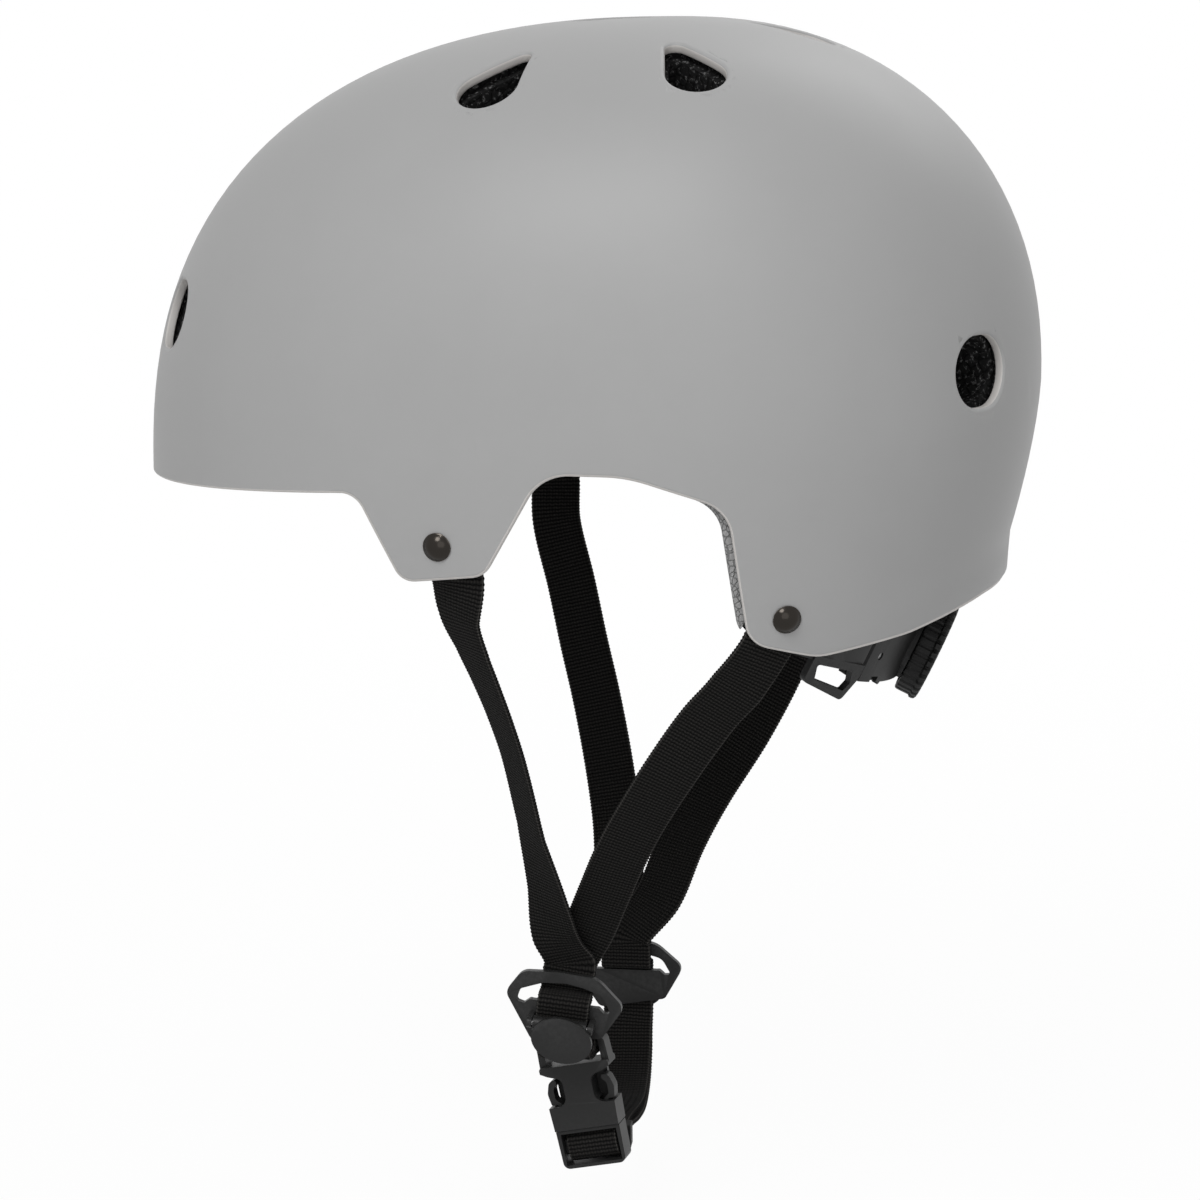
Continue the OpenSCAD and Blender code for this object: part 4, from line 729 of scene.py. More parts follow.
@dataclass(frozen=True)
class DomeBand:
    """A closed wall between two offsets of the dome, trimmed to an edge in the side view.

    The edge is traced from side_front to side_rear; past them it is level round the brow and the nape.
    """

    outer: float
    inner: float
    rim: tuple[Corner, ...]
    spacing: float
    rows: int
    outer_round: float
    inner_round: float
    edge_outside: int = 0
    arc_steps: int = 4
    corner_points: int = 24
    line_step: float = 0.5
    side_front: float = -66.0
    side_rear: float = 120.5
    rear_inset: float = 0.35
    end_points: int = 160
    upper_points: int = 140
    lower_points: int = 40
    bend_step: float = 10.0

    def edge_line(self) -> Array:
        """Returns the edge in the side view as close points (y, z)."""
        points: list[Array] = []
        corners = [np.array(c[:2]) for c in self.rim]
        points.append(corners[0])
        for i in range(1, len(corners) - 1):
            b, r = corners[i], self.rim[i][2]
            p, q = unit(corners[i - 1] - b), unit(corners[i + 1] - b)
            half = math.acos(float(np.clip(p @ q, -1, 1))) / 2
            centre = b + unit(p + q) * r / math.sin(half)
            start, end = b + p * r / math.tan(half) - centre, b + q * r / math.tan(half) - centre
            for t in np.linspace(0, 1, self.corner_points):
                w = math.pi - 2 * half
                points.append(centre + (start * math.sin((1 - t) * w) + end * math.sin(t * w)) / math.sin(w))
        points.append(corners[-1])
        line = np.array(points)
        far = travel(line)
        return resampled(line, far, np.arange(0, far[-1], self.line_step))

    def on_dome(self, y: Array, z: Array, d: float) -> Array:
        """Returns the directions at which the dome has these side-view places."""
        low, high = np.full(len(y), -math.pi / 2), np.full(len(y), math.pi / 2)
        for _ in range(HALVINGS):
            mid = (low + high) / 2
            out = DOME.widest_y + DOME.radius(mid, z, d) * np.sin(mid) > y
            high, low = np.where(out, mid, high), np.where(out, low, mid)
        return (low + high) / 2

    def half_edge(self) -> tuple[Array, Array, Array, Array]:
        """Returns direction and height of paired outer and inner edge points, from the brow to the nape."""
        line = self.edge_line()
        middle = line[(line[:, 0] > self.side_front) & (line[:, 0] < self.side_rear)]
        pairs = []
        for d in (self.outer, self.inner):
            inset = (d - self.outer) * self.rear_inset
            y = np.minimum(middle[:, 0], self.side_rear - inset)
            u = self.on_dome(y, middle[:, 1], d)
            ends = []
            for limit, stop in ((-math.pi / 2, u[0]), (math.pi / 2, u[-1])):
                run = np.linspace(limit, stop, self.end_points)[:-1]
                z = np.zeros_like(run)
                for _ in range(6):
                    reached = DOME.widest_y + DOME.radius(run, z, d) * np.sin(run)
                    z = np.interp(reached, line[:, 0], line[:, 1])
                ends.append((run, z))
            pairs += [np.concatenate([ends[0][0], u, ends[1][0][::-1]]),
                      np.concatenate([ends[0][1], middle[:, 1], ends[1][1][::-1]])]
        u, z, u_in, z_in = pairs
        path = DOME.skin(u, z, self.outer)
        legs = np.diff(path, axis=0)
        far = np.linalg.norm(legs, axis=1)
        bend = np.arccos(np.clip(np.sum(unit(legs[1:]) * unit(legs[:-1]), axis=1), -1, 1))
        bends = np.concatenate([[0], bend]) / math.radians(self.bend_step)
        weight = np.concatenate([[0], np.cumsum(far / self.spacing + bends)])
        even = np.linspace(0, weight[-1], int(weight[-1]) + 1)
        return tuple(np.interp(even, weight, v) for v in (u, z, u_in, z_in))

    def column(self, u: float, z: float, d: float) -> Array:
        """Returns one meridian's points from a place on the edge up to near the crown."""
        top = float(DOME.mixed(np.array(u), DOME.bellies))
        bulge = float(DOME.mixed(np.array(u), DOME.bulges))
        height = DOME.crown - d - top
        start = math.pi / 2 if z < top else math.acos(min(1.0, ((z - top) / height)) ** (bulge / 2))
        a = np.linspace(start, 0.0, self.upper_points)
        r = float(DOME.reach(np.array(u), d)) * np.sin(a) ** (2 / bulge)
        h = top + height * np.cos(a) ** (2 / bulge)
        if z < top:
            low = np.linspace(z, top, self.lower_points)[:-1]
            r = np.concatenate([DOME.radius(np.full(len(low), u), low, d), r])
            h = np.concatenate([low, h])
        far = np.concatenate([[0], np.cumsum(np.hypot(np.diff(r), np.diff(h)))])
        even = np.linspace(0, far[-1], self.rows + 1)[:-1]
        r, h = np.interp(even, far, r), np.interp(even, far, h)
        return np.stack([r * math.cos(u), DOME.widest_y + r * math.sin(u), h], 1)

    def build(self) -> Body:
        """Returns the closed wall; faces of its edge carry material 1."""
        u, z, u_in, z_in = self.half_edge()
        edge, back = DOME.skin(u, z, self.outer), DOME.skin(u_in, z_in, self.inner)
        edge[[0, -1], 0] = back[[0, -1], 0] = 0.0
        along = unit(np.gradient(edge, axis=0))
        along[[0, -1]] = [1.0, 0.0, 0.0]
        across = unit(back - edge)
        down = unit(np.cross(along, across))
        down *= np.sign(-np.sum(down * self.inward(u, z), axis=1))[:, None]
        thick = np.linalg.norm(back - edge, axis=1)[:, None]
        roll = []
        for at, r, sweep in ((0.0, self.outer_round, range(self.arc_steps + 1)),
                             (1.0, self.inner_round, range(self.arc_steps, -1, -1))):
            for k in sweep:
                t = math.pi / 2 * k / self.arc_steps
                out, deep = -r * (1 - math.sin(t)), r * (1 - math.cos(t))
                roll.append(edge + across * (thick * at + (deep if at == 0 else -deep)) + down * out)
        first, last = roll[0], roll[-1]
        sides = []
        for start, d in ((first, self.outer), (last, self.inner)):
            turned = np.arctan2(start[:, 1] - DOME.widest_y, start[:, 0])
            cols = [self.column(float(a), float(h), d) for a, h in zip(turned, start[:, 2])]
            sides.append(np.stack(cols, 1))
        rows = [*sides[0][::-1], *roll[1:-1], *sides[1]]
        half = np.stack(rows)
        other = half[:, -2:0:-1] * FLIP
        full = np.concatenate([half, other], 1)
        count, cols = full.shape[:2]
        # The edge rows take material 1, a lighter copy of the wall's finish: painted light on the shell's rim
        # and on the liner's edge.
        edge_rows = range(self.rows - 1 - self.edge_outside, self.rows + len(roll) - 1)
        body = Body()
        body.add(full, grid_faces(count, cols, closed=True))
        body.marks = [int(j in edge_rows) for j in range(count - 1) for _ in range(cols)]
        tip = body.count
        body.add(np.array([[0, DOME.widest_y, DOME.crown - d] for d in (self.outer, self.inner)]), [])
        for k in range(cols):
            body.faces.append((tip, k, (k + 1) % cols))
            body.faces.append((tip + 1, (count - 1) * cols + (k + 1) % cols, (count - 1) * cols + k))
            body.marks += [0, 0]
        return body

    def inward(self, u: Array, z: Array) -> Array:
        """Returns the directions in the wall that lead from the edge into the material."""
        probe = DOME.skin(u, z + 1.0, self.outer) - DOME.skin(u, z, self.outer)
        ahead = np.gradient(DOME.skin(u, z, self.outer), axis=0)
        side = np.cross(DOME.normal(DOME.skin(u, z)), unit(ahead))
        return side * np.sign(side[len(u) // 2] @ probe[len(u) // 2])


@dataclass(frozen=True)
class Vent:
    """One vent: the hull of a wide end and a narrow end, looked at along a direction."""

    wide: Array
    wide_r: float
    tip: Array
    tip_r: float
    out: Array

    def outline(self, arc: int = 26, straight: int = 12) -> tuple[Array, Array]:
        """Returns the outline's points and their outward directions in the vent's plane."""
        slanted = abs(self.out[2]) < 0.999
        x = unit(np.cross([0.0, 0.0, 1.0], self.out)) if slanted else np.array([1.0, 0.0, 0.0])
        y = np.cross(self.out, x)
        leg = self.tip - self.wide
        flat = np.array([leg @ x, leg @ y])
        far = float(np.linalg.norm(flat))
        lean = math.atan2(flat[1], flat[0])
        beta = math.acos(max(-1.0, min(1.0, (self.wide_r - self.tip_r) / far)))
        runs = [(0.0, self.wide_r, np.linspace(lean + beta, lean + 2 * math.pi - beta, arc)),
                (1.0, self.tip_r, np.linspace(lean - beta, lean + beta, arc // 2 + 4))]
        centres, radii, angles = [], [], []
        for i, (at, r, sweep) in enumerate(runs):
            centres += [at] * len(sweep)
            radii += [r] * len(sweep)
            angles += list(sweep)
            for t in np.linspace(0, 1, straight + 2)[1:-1]:
                centres.append(t if i == 0 else 1 - t)
                radii.append(self.wide_r + (self.tip_r - self.wide_r) * centres[-1])
                angles.append(sweep[-1])
        at, r, a = (np.array(v) for v in (centres, radii, angles))
        ways = np.cos(a)[:, None] * x + np.sin(a)[:, None] * y
        return self.wide + at[:, None] * leg + r[:, None] * ways, ways

    def mirrored(self) -> Vent:
        """Returns the same vent on the other side."""
        return Vent(self.wide * FLIP, self.wide_r, self.tip * FLIP, self.tip_r, self.out * FLIP)


def side_vent(degrees: float, z: float, r: float, half: float) -> Vent:
    """Returns a round vent in the wall, a little longer round the head than it is tall."""
    u = np.radians([degrees - half, degrees + half])
    ends = DOME.skin(u, np.array([z, z]))
    return Vent(ends[0], r, ends[1], r, DOME.wall_normal(degrees, z))


def top_vent(wide: tuple[float, float], wide_r: float, tip: tuple[float, float], tip_r: float) -> Vent:
    """Returns a drop-shaped vent in the crown."""
    ends = DOME.crown_skin(np.array([wide[0], tip[0]]), np.array([wide[1], tip[1]]))
    out = DOME.top_normal((wide[0] + tip[0]) / 2, (wide[1] + tip[1]) / 2)
    return Vent(ends[0], wide_r, ends[1], tip_r, out)


def all_vents() -> list[Vent]:
    """Returns the ten vents."""
    paired = [
        side_vent(-75.7, 51.7, 10.2, 1.0), side_vent(57.0, 41.2, 10.2, 0.9),
        top_vent((62.6, -23.0), 9.0, (49.8, -14.6), 2.2), top_vent((63.6, 36.2), 8.6, (50.8, 29.0), 3.0),
    ]
    middle = [top_vent((0.0, -1.0), 8.0, (0.0, 14.0), 2.0), top_vent((0.0, 62.0), 8.5, (0.0, 47.0), 2.0)]
    return paired + [v.mirrored() for v in paired] + middle


def prism(points: Array, axis: Array, low: float, high: float) -> Form:
    """Returns a prism from a loop of points, between two heights along an axis."""
    n = len(points)
    both = np.concatenate([points + axis * low, points + axis * high])
    sides = [(i, (i + 1) % n, n + (i + 1) % n, n + i) for i in range(n)]
    return both, [tuple(range(n - 1, -1, -1)), tuple(range(n, 2 * n)), *sides]


def carve(piece: Piece, cutters: Body) -> None:
    """Cuts closed forms out of a piece and removes them."""
    mesh = cutters.mesh("cutters")
    tidy_normals(mesh)
    tool = bpy.data.objects.new("cutters", mesh)
    bpy.context.scene.collection.objects.link(tool)
    cut = piece.modifiers.new("cut", "BOOLEAN")
    cut.operation = "DIFFERENCE"
    cut.solver = "EXACT"
    cut.use_self = True
    cut.object = tool
    applied(piece)
    bpy.data.objects.remove(tool)
    bpy.data.meshes.remove(mesh)


@dataclass(frozen=True)
class ShellMaker:
    """The hard shell with its rounded edge and the collars pressed in round its vents.

    The first rows of a collar lie flush in the skin, and from row pale_from on it takes the shell's lighter
    copy, as the rounded rim does: painted light for the bounce light these downward-facing faces catch.
    """

    wall: DomeBand = DomeBand(0.0, 2.8, SHELL_RIM, 3.4, 40, 1.25, 0.8, -1)
    lip: float = 1.3
    lip_steps: int = 6
    collar_depth: float = 3.1
    collar_t: float = 1.5
    flush_rows: int = 3
    pale_from: int = 6
    skin_near: float = 8e-4
    cut: tuple[float, float] = (-9.0, 6.0)
    crease: float = 50.0

    def collar(self, vent: Vent) -> tuple[Array, list[Face], int]:
        """Returns a collar's points in rows from the skin inward, its faces, and how many make a row."""
        base, ways = vent.outline()
        rows = [(self.lip + 1.1, 0.05), (self.lip + 0.25, 0.02), (self.lip, 0.0)]
        for k in range(1, self.lip_steps + 1):
            t = math.pi / 2 * k / self.lip_steps
            rows.append((self.lip * (1 - math.sin(t)), self.lip * (1 - math.cos(t))))
        rows += [(0.0, 2.0), (0.0, self.collar_depth - 0.4), (0.12, self.collar_depth - 0.1),
                 (0.4, self.collar_depth), (self.collar_t - 0.3, self.collar_depth),
                 (self.collar_t, self.collar_depth - 0.3), (self.collar_t, 2.5)]
        points = [DOME.onto(base + ways * g, vent.out) - vent.out * deep for g, deep in rows]
        return np.concatenate(points), grid_faces(len(rows), len(base), closed=True), len(base)

    def make(self) -> Piece:
        """Returns the finished shell."""
        vents = all_vents()
        mesh = self.wall.build().mesh("hard_shell")
        tidy_normals(mesh)
        piece = show(mesh, [Look.SHELL, Look.SHELL_PAINTED_LIGHT])
        cutters = Body()
        for vent in vents:
            base, ways = vent.outline()
            cutters.add(*prism(DOME.onto(base + ways * (self.lip + 0.3), vent.out), vent.out, *self.cut))
        carve(piece, cutters)
        old = piece.data
        whole = Body()
        points = np.empty(len(old.vertices) * 3)
        old.vertices.foreach_get("co", points)
        points = points.reshape(-1, 3) / MM
        whole.add(points, [tuple(p.vertices) for p in old.polygons])
        whole.marks = [min(p.material_index, 1) for p in old.polygons]
        flush = [np.abs(DOME.level(points)) < self.skin_near]
        for vent in vents:
            rim, faces, around = self.collar(vent)
            whole.add(rim, faces)
            # Collar walls from row pale_from on take the lighter shell copy: painted bounce light.
            whole.marks[-len(faces):] = [int(k // around >= self.pale_from) for k in range(len(faces))]
            flush.append(np.arange(len(rim)) < self.flush_rows * around)
        mesh = whole.mesh("hard_shell_skin")
        points = np.concatenate(whole.points)
        normals = np.where(np.concatenate(flush)[:, None], DOME.normal(points), 0.0)
        mesh.set_sharp_from_angle(angle=math.radians(self.crease))
        mesh.normals_split_custom_set_from_vertices(normals.tolist())
        for look in (Look.SHELL, Look.SHELL_PAINTED_LIGHT):
            mesh.materials.append(look.value.material())
        piece.data = mesh
        bpy.data.meshes.remove(old)
        piece.name = "hard_shell"
        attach(piece, "helmet")
        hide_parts("outer_shell")
        return piece


RING = shift(0, 22, -13.5) @ turn("X", -25)
RIVET_SPOTS = ((-28.8, -5.3), (23.6, -24.4))


def facing(at: Array, out: Array) -> Array:
    """Returns the frame at a point whose +Z is a direction and whose +X runs down the slope."""
    tilt, spin = math.degrees(math.acos(out[2])), math.degrees(math.atan2(out[1], out[0]))
    return shift(*at) @ turn("Z", spin) @ turn("Y", tilt)


def flipped(matrix: Array) -> Array:
    """Returns a frame carried to the other side of the helmet."""
    return np.diag([-1.0, 1.0, 1.0, 1.0]) @ matrix


def rivet_frames() -> list[Array]:
    """Returns the frames of the left side's rivets, on the skin."""
    return [facing(DOME.skin(np.array(math.radians(degrees)), np.array(z)), DOME.wall_normal(degrees, z))
            for degrees, z in RIVET_SPOTS]


def box(low: Sequence[float], high: Sequence[float]) -> Form:
    """Returns a block between two corners."""
    points = [(x, y, z) for x in (low[0], high[0]) for y in (low[1], high[1]) for z in (low[2], high[2])]
    faces = [(0, 1, 3, 2), (4, 6, 7, 5), (0, 4, 5, 1), (2, 3, 7, 6), (0, 2, 6, 4), (1, 5, 7, 3)]
    return np.array(points), faces


def drum(radius: float, low: float, high: float, around: int) -> Form:
    """Returns a cylinder about +Z."""
    a = np.arange(around) * 2 * math.pi / around
    ring = np.stack([radius * np.cos(a), radius * np.sin(a), 0 * a], 1)
    return prism(ring, np.array([0.0, 0.0, 1.0]), low, high)


@dataclass(frozen=True)
class LinerMaker:
    """The bead foam liner with vent channels, strap pockets and the cradle's groove."""

    wall: DomeBand = DomeBand(3.3, 25.3, liner_rim(), 4.2, 26, 1.4, 3.0, 1)
    collar_gap: float = 2.0
    collar_cut: tuple[float, float] = (-5.4, 8.0)
    vent_cut: tuple[float, float] = (-60.0, 8.5)
    pocket: tuple[tuple[float, ...], ...] = ((-14.0, -9.6, -10.3), (46.0, 9.6, 4.0))
    pocket_leans: tuple[float, float] = (0.0, -22.0)
    groove_r: float = 82.65
    groove_half: float = 11.0
    crease: float = 42.0

    def make(self) -> Piece:
        """Returns the finished liner."""
        mesh = self.wall.build().mesh("bead_liner")
        tidy_normals(mesh)
        # The liner's edge faces take the lighter foam copy: painted light.
        piece = show(mesh, [Look.FOAM, Look.FOAM_PAINTED_LIGHT])
        cutters = Body()
        for vent in all_vents():
            base, ways = vent.outline(18, 6)
            cutters.add(*prism(base + ways * self.collar_gap, vent.out, *self.collar_cut))
            cutters.add(*prism(base - ways, vent.out, *self.vent_cut))
        block, faces = box(*self.pocket)
        for rivet, lean in zip(rivet_frames(), self.pocket_leans):
            frame = rivet @ turn("Z", lean)
            for matrix in (frame, flipped(frame)):
                cutters.add(moved(block, matrix), faces)
        ring, faces = drum(self.groove_r, -self.groove_half, self.groove_half, 128)
        cutters.add(moved(ring, RING), faces)
        carve(piece, cutters)
        piece.data.set_sharp_from_angle(angle=math.radians(self.crease))
        piece.name = "bead_liner"
        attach(piece, "helmet")
        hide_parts("foam_liner")
        return piece


# Cushions


def swell(s: Array, q: Array) -> Array:
    """Returns a cushion's crown: full in the middle, rounded down to its edge."""
    return 0.3 + 0.7 * np.maximum((1 - np.abs(s) ** 4) * (1 - np.abs(q) ** 4), 0) ** 0.55


def channel(v: Array, at: float, half: float) -> Array:
    """Returns the dip of one sewn channel."""
    return 1 - 0.5 * np.maximum(1 - np.abs(v - at) / half, 0) ** 0.75


def eased(cells: int) -> Array:
    """Returns places from -1 to 1 that lie closer together towards both ends."""
    t = np.linspace(-1, 1, cells + 1)
    return np.sin(t * math.pi / 2) * 0.5 + np.linspace(-0.5, 0.5, cells + 1)


@dataclass(frozen=True)
class Cushion:
    """One fit cushion: a crowned cloth form with sewn channels, bound round its edge."""

    name: str
    node: str
    place: Place
    along: tuple[float, ...] = ()
    over: tuple[float, ...] = ()
    thick: float = 7.0
    cells: tuple[int, int] = (72, 36)
    seam_half: float = 0.14
    edge_in: float = 0.985
    tube_points: int = 8
    stitches_in_row: int = 22
    row_half: float = 0.86

    def height(self, s: Array, q: Array) -> Array:
        """Returns the share of full thickness over the cushion."""
        dips = np.ones_like(s)
        for at in self.along:
            dips = np.minimum(dips, channel(s, at, self.seam_half))
        for at in self.over:
            dips = np.minimum(dips, channel(q, at, self.seam_half))
        tucks = sum(0.012 * np.sin(17 * s * math.cos(k) + 23 * q * math.sin(k) + 2.1 * k) for k in range(5))
        return swell(s, q) * dips * (1 + tucks * np.minimum(1, 4 * (1 - np.maximum(np.abs(s), np.abs(q)))))

    def make(self) -> Piece:
        """Returns the finished cushion."""
        nu, nv = self.cells
        s, q = np.meshgrid(eased(nu), eased(nv))
        inner = self.place(s, q, self.height(s, q) * self.thick * 0.985)
        outer = self.place(s, q, 0 * s + 0.05)
        body = Body()
        cols = nu + 1
        faces = grid_faces(nv + 1, cols)
        size = cols * (nv + 1)
        border = ([*range(cols)] + [j * cols + nu for j in range(1, nv + 1)]
                  + [nv * cols + i for i in range(nu - 1, -1, -1)] + [j * cols for j in range(nv - 1, 0, -1)])
        skirt = [(a, b, size + b, size + a) for a, b in zip(border, border[1:] + border[:1])]
        both = np.concatenate([inner.reshape(-1, 3), outer.reshape(-1, 3)])
        body.add(both, faces + [tuple(size + i for i in f[::-1]) for f in faces] + skirt)
        body.add(*self.binding(), mark=1)
        body.add(*self.stitches(), mark=1)
        mesh = body.mesh(self.name)
        tidy_normals(mesh)
        piece = show(mesh, [Look.CUSHION, Look.BINDING])
        mesh.set_sharp_from_angle(angle=math.radians(70))
        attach(piece, "helmet")
        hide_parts(self.node)
        return piece

    def binding(self) -> Form:
        """Returns the bound edge: a soft flat tube just inside the outline."""
        t = np.linspace(-1, 1, 41)[:-1]
        one = np.ones_like(t)
        s = np.concatenate([t, one, -t, -one]) * self.edge_in
        q = np.concatenate([-one, t, one, -t]) * self.edge_in
        edge = self.thick * 0.3
        rings = []
        for k in range(self.tube_points):
            a = 2 * math.pi * k / self.tube_points
            shrink = 1 - 0.012 * (1 + math.cos(a))
            rings.append(self.place(s * shrink, q * shrink, edge * (0.62 + 0.5 * math.sin(a)) + 0 * s))
        n, last = len(s), (self.tube_points - 1) * len(s)
        seam = [(last + i, last + (i + 1) % n, (i + 1) % n, i) for i in range(n)]
        return np.concatenate(rings), grid_faces(self.tube_points, n, closed=True) + seam

    def stitches(self) -> Form:
        """Returns short thread bars along the sewn channels."""
        body = Body()
        faces = [(0, 1, 3, 2), (2, 3, 5, 4), (4, 5, 7, 6), (6, 7, 1, 0), (0, 2, 4, 6), (7, 5, 3, 1)]
        lines = [(at, None) for at in self.along] + [(None, at) for at in self.over]
        for s0, q0 in lines:
            for k in range(self.stitches_in_row):
                a = -self.row_half + 2 * self.row_half * k / (self.stitches_in_row - 1)
                if q0 is None:
                    ends = [(s0, a - 0.024), (s0, a + 0.024)]
                else:
                    ends = [(a - 0.014, q0), (a + 0.014, q0)]
                s, q = np.array([e[0] for e in ends]), np.array([e[1] for e in ends])
                seat = self.height(s, q) * self.thick
                ends3 = self.place(s, q, seat + 0.1)
                lift = unit(ends3[0] - self.place(s, q, seat - 2.0)[0])
                way = unit(ends3[1] - ends3[0])
                side = np.cross(way, lift) * 0.28
                corners = [ends3 + side, ends3 + lift * 0.22, ends3 - side, ends3 - lift * 0.3]
                body.add(np.concatenate(corners), faces)
        if not body.points:
            return np.zeros((0, 3)), []
        return np.concatenate(body.points), body.faces


PAD_OUT = 27.9
DRAW_IN = 0.08


def wall_place(u0: float, u1: float, top: float, low: float, side: float = 1.0) -> Place:
    """Returns how a cushion on the wall is placed from its own coordinates and depth."""
    def place(s: Array, q: Array, deep: Array) -> Array:
        """Returns points at a depth from the cushion's back."""
        u = np.radians((u0 + u1) / 2 + (u1 - u0) / 2 * s * (1 - DRAW_IN * (1 - q * q)))
        z = (top + low) / 2 - (top - low) / 2 * q * (1 - DRAW_IN * (1 - s * s))
        return DOME.skin(u, z, PAD_OUT + deep) * [side, 1, 1]
    return place


def crown_place(s: Array, q: Array, deep: Array) -> Array:
    """Places the crown cushion."""
    x = 40 * s * np.sqrt(1 - q * q / 2) * (1 - DRAW_IN * (1 - q * q))
    y = DOME.widest_y + 52 * q * np.sqrt(1 - s * s / 2)
    return DOME.crown_skin(x, y, PAD_OUT + deep)


def nape_place(s: Array, q: Array, deep: Array) -> Array:
    """Places the cushion inside the gear housing."""
    a = np.radians(90 + 28.5 * s * (1 - DRAW_IN * (1 - q * q)))
    r = 75.25 - deep
    z = 9 * q * (1 - DRAW_IN * (1 - s * s))
    points = np.stack([r * np.cos(a), r * np.sin(a), z + 0 * r], -1)
    return moved(points, RING).reshape(points.shape)


CUSHIONS = (
    Cushion("crown_cushion", "crown_pad", crown_place, over=(-0.36, 0.36)),
    Cushion("brow_cushion", "brow_pad", wall_place(-128, -52, 32, 12), along=(-0.34, 0.34), cells=(96, 24)),
    Cushion("left_temple_cushion", "left_side_pad", wall_place(-22, 34, 64, 24), along=(0.0,)),
    Cushion("right_temple_cushion", "right_side_pad", wall_place(-22, 34, 64, 24, -1.0), along=(0.0,)),
    Cushion("rear_cushion", "rear_pad", wall_place(62, 118, 46, 4), along=(-0.34, 0.34)),
    Cushion("nape_cushion", "nape_pad", nape_place, along=(0.0,), thick=5.0, cells=(60, 20)),
)


# Harness


def turned(p: Sequence[float], tilt: float) -> Array:
    """Takes local (rearward, up, outward) to the helmet's axes with a tilt about X."""
    c, s = math.cos(math.radians(tilt)), math.sin(math.radians(tilt))
    return np.array([p[2], p[0] * c - p[1] * s, p[0] * s + p[1] * c])


def yawed(p: Array, yaw: float) -> Array:
    """Turns a point about the vertical."""
    c, s = math.cos(math.radians(yaw)), math.sin(math.radians(yaw))
    return np.array([p[0] * c - p[1] * s, p[0] * s + p[1] * c, p[2]])


Station = tuple[Array, Array]
FREE_RUNS = {
    "left_front_strap": (
        ((91.5, -27, -27), 38), ((86.5, -24, -38), 48), ((81.5, -21, -48), 52), ((76, -18, -59), 55),
        ((69, -15, -73), 57), ((59.5, -11.5, -96), 56), ((51, -8, -117), 38), ((43.5, -6.2, -133), 12)),
    "left_rear_strap": (
        ((86, 51, -46), 0), ((80, 42, -57), 0), ((71.5, 28.5, -77.5), 0), ((63, 19.5, -93), 0),
        ((57, 14, -104), 0), ((49.3, 8.5, -117), 0), ((41.3, 2.5, -131), 0)),
    "right_front_strap": (
        ((-92, -25.5, -29), 0), ((-87.5, -20, -49), 0), ((-83.5, -15.5, -67), 0), ((-78.5, -10.5, -85), 0),
        ((-71, -5.5, -105), 0), ((-63.5, -2, -122), 0), ((-57, -0.5, -134.5), 0), ((-49.5, 1, -143.5), 0)),
    "right_rear_strap": (
        ((-89.5, 56.5, -54), 0), ((-87, 49, -74), 0), ((-82, 39, -94), 0), ((-74, 27.3, -113), 0),
        ((-61.5, 19.3, -128), 0), ((-46.5, 13, -143.5), 0)),
}


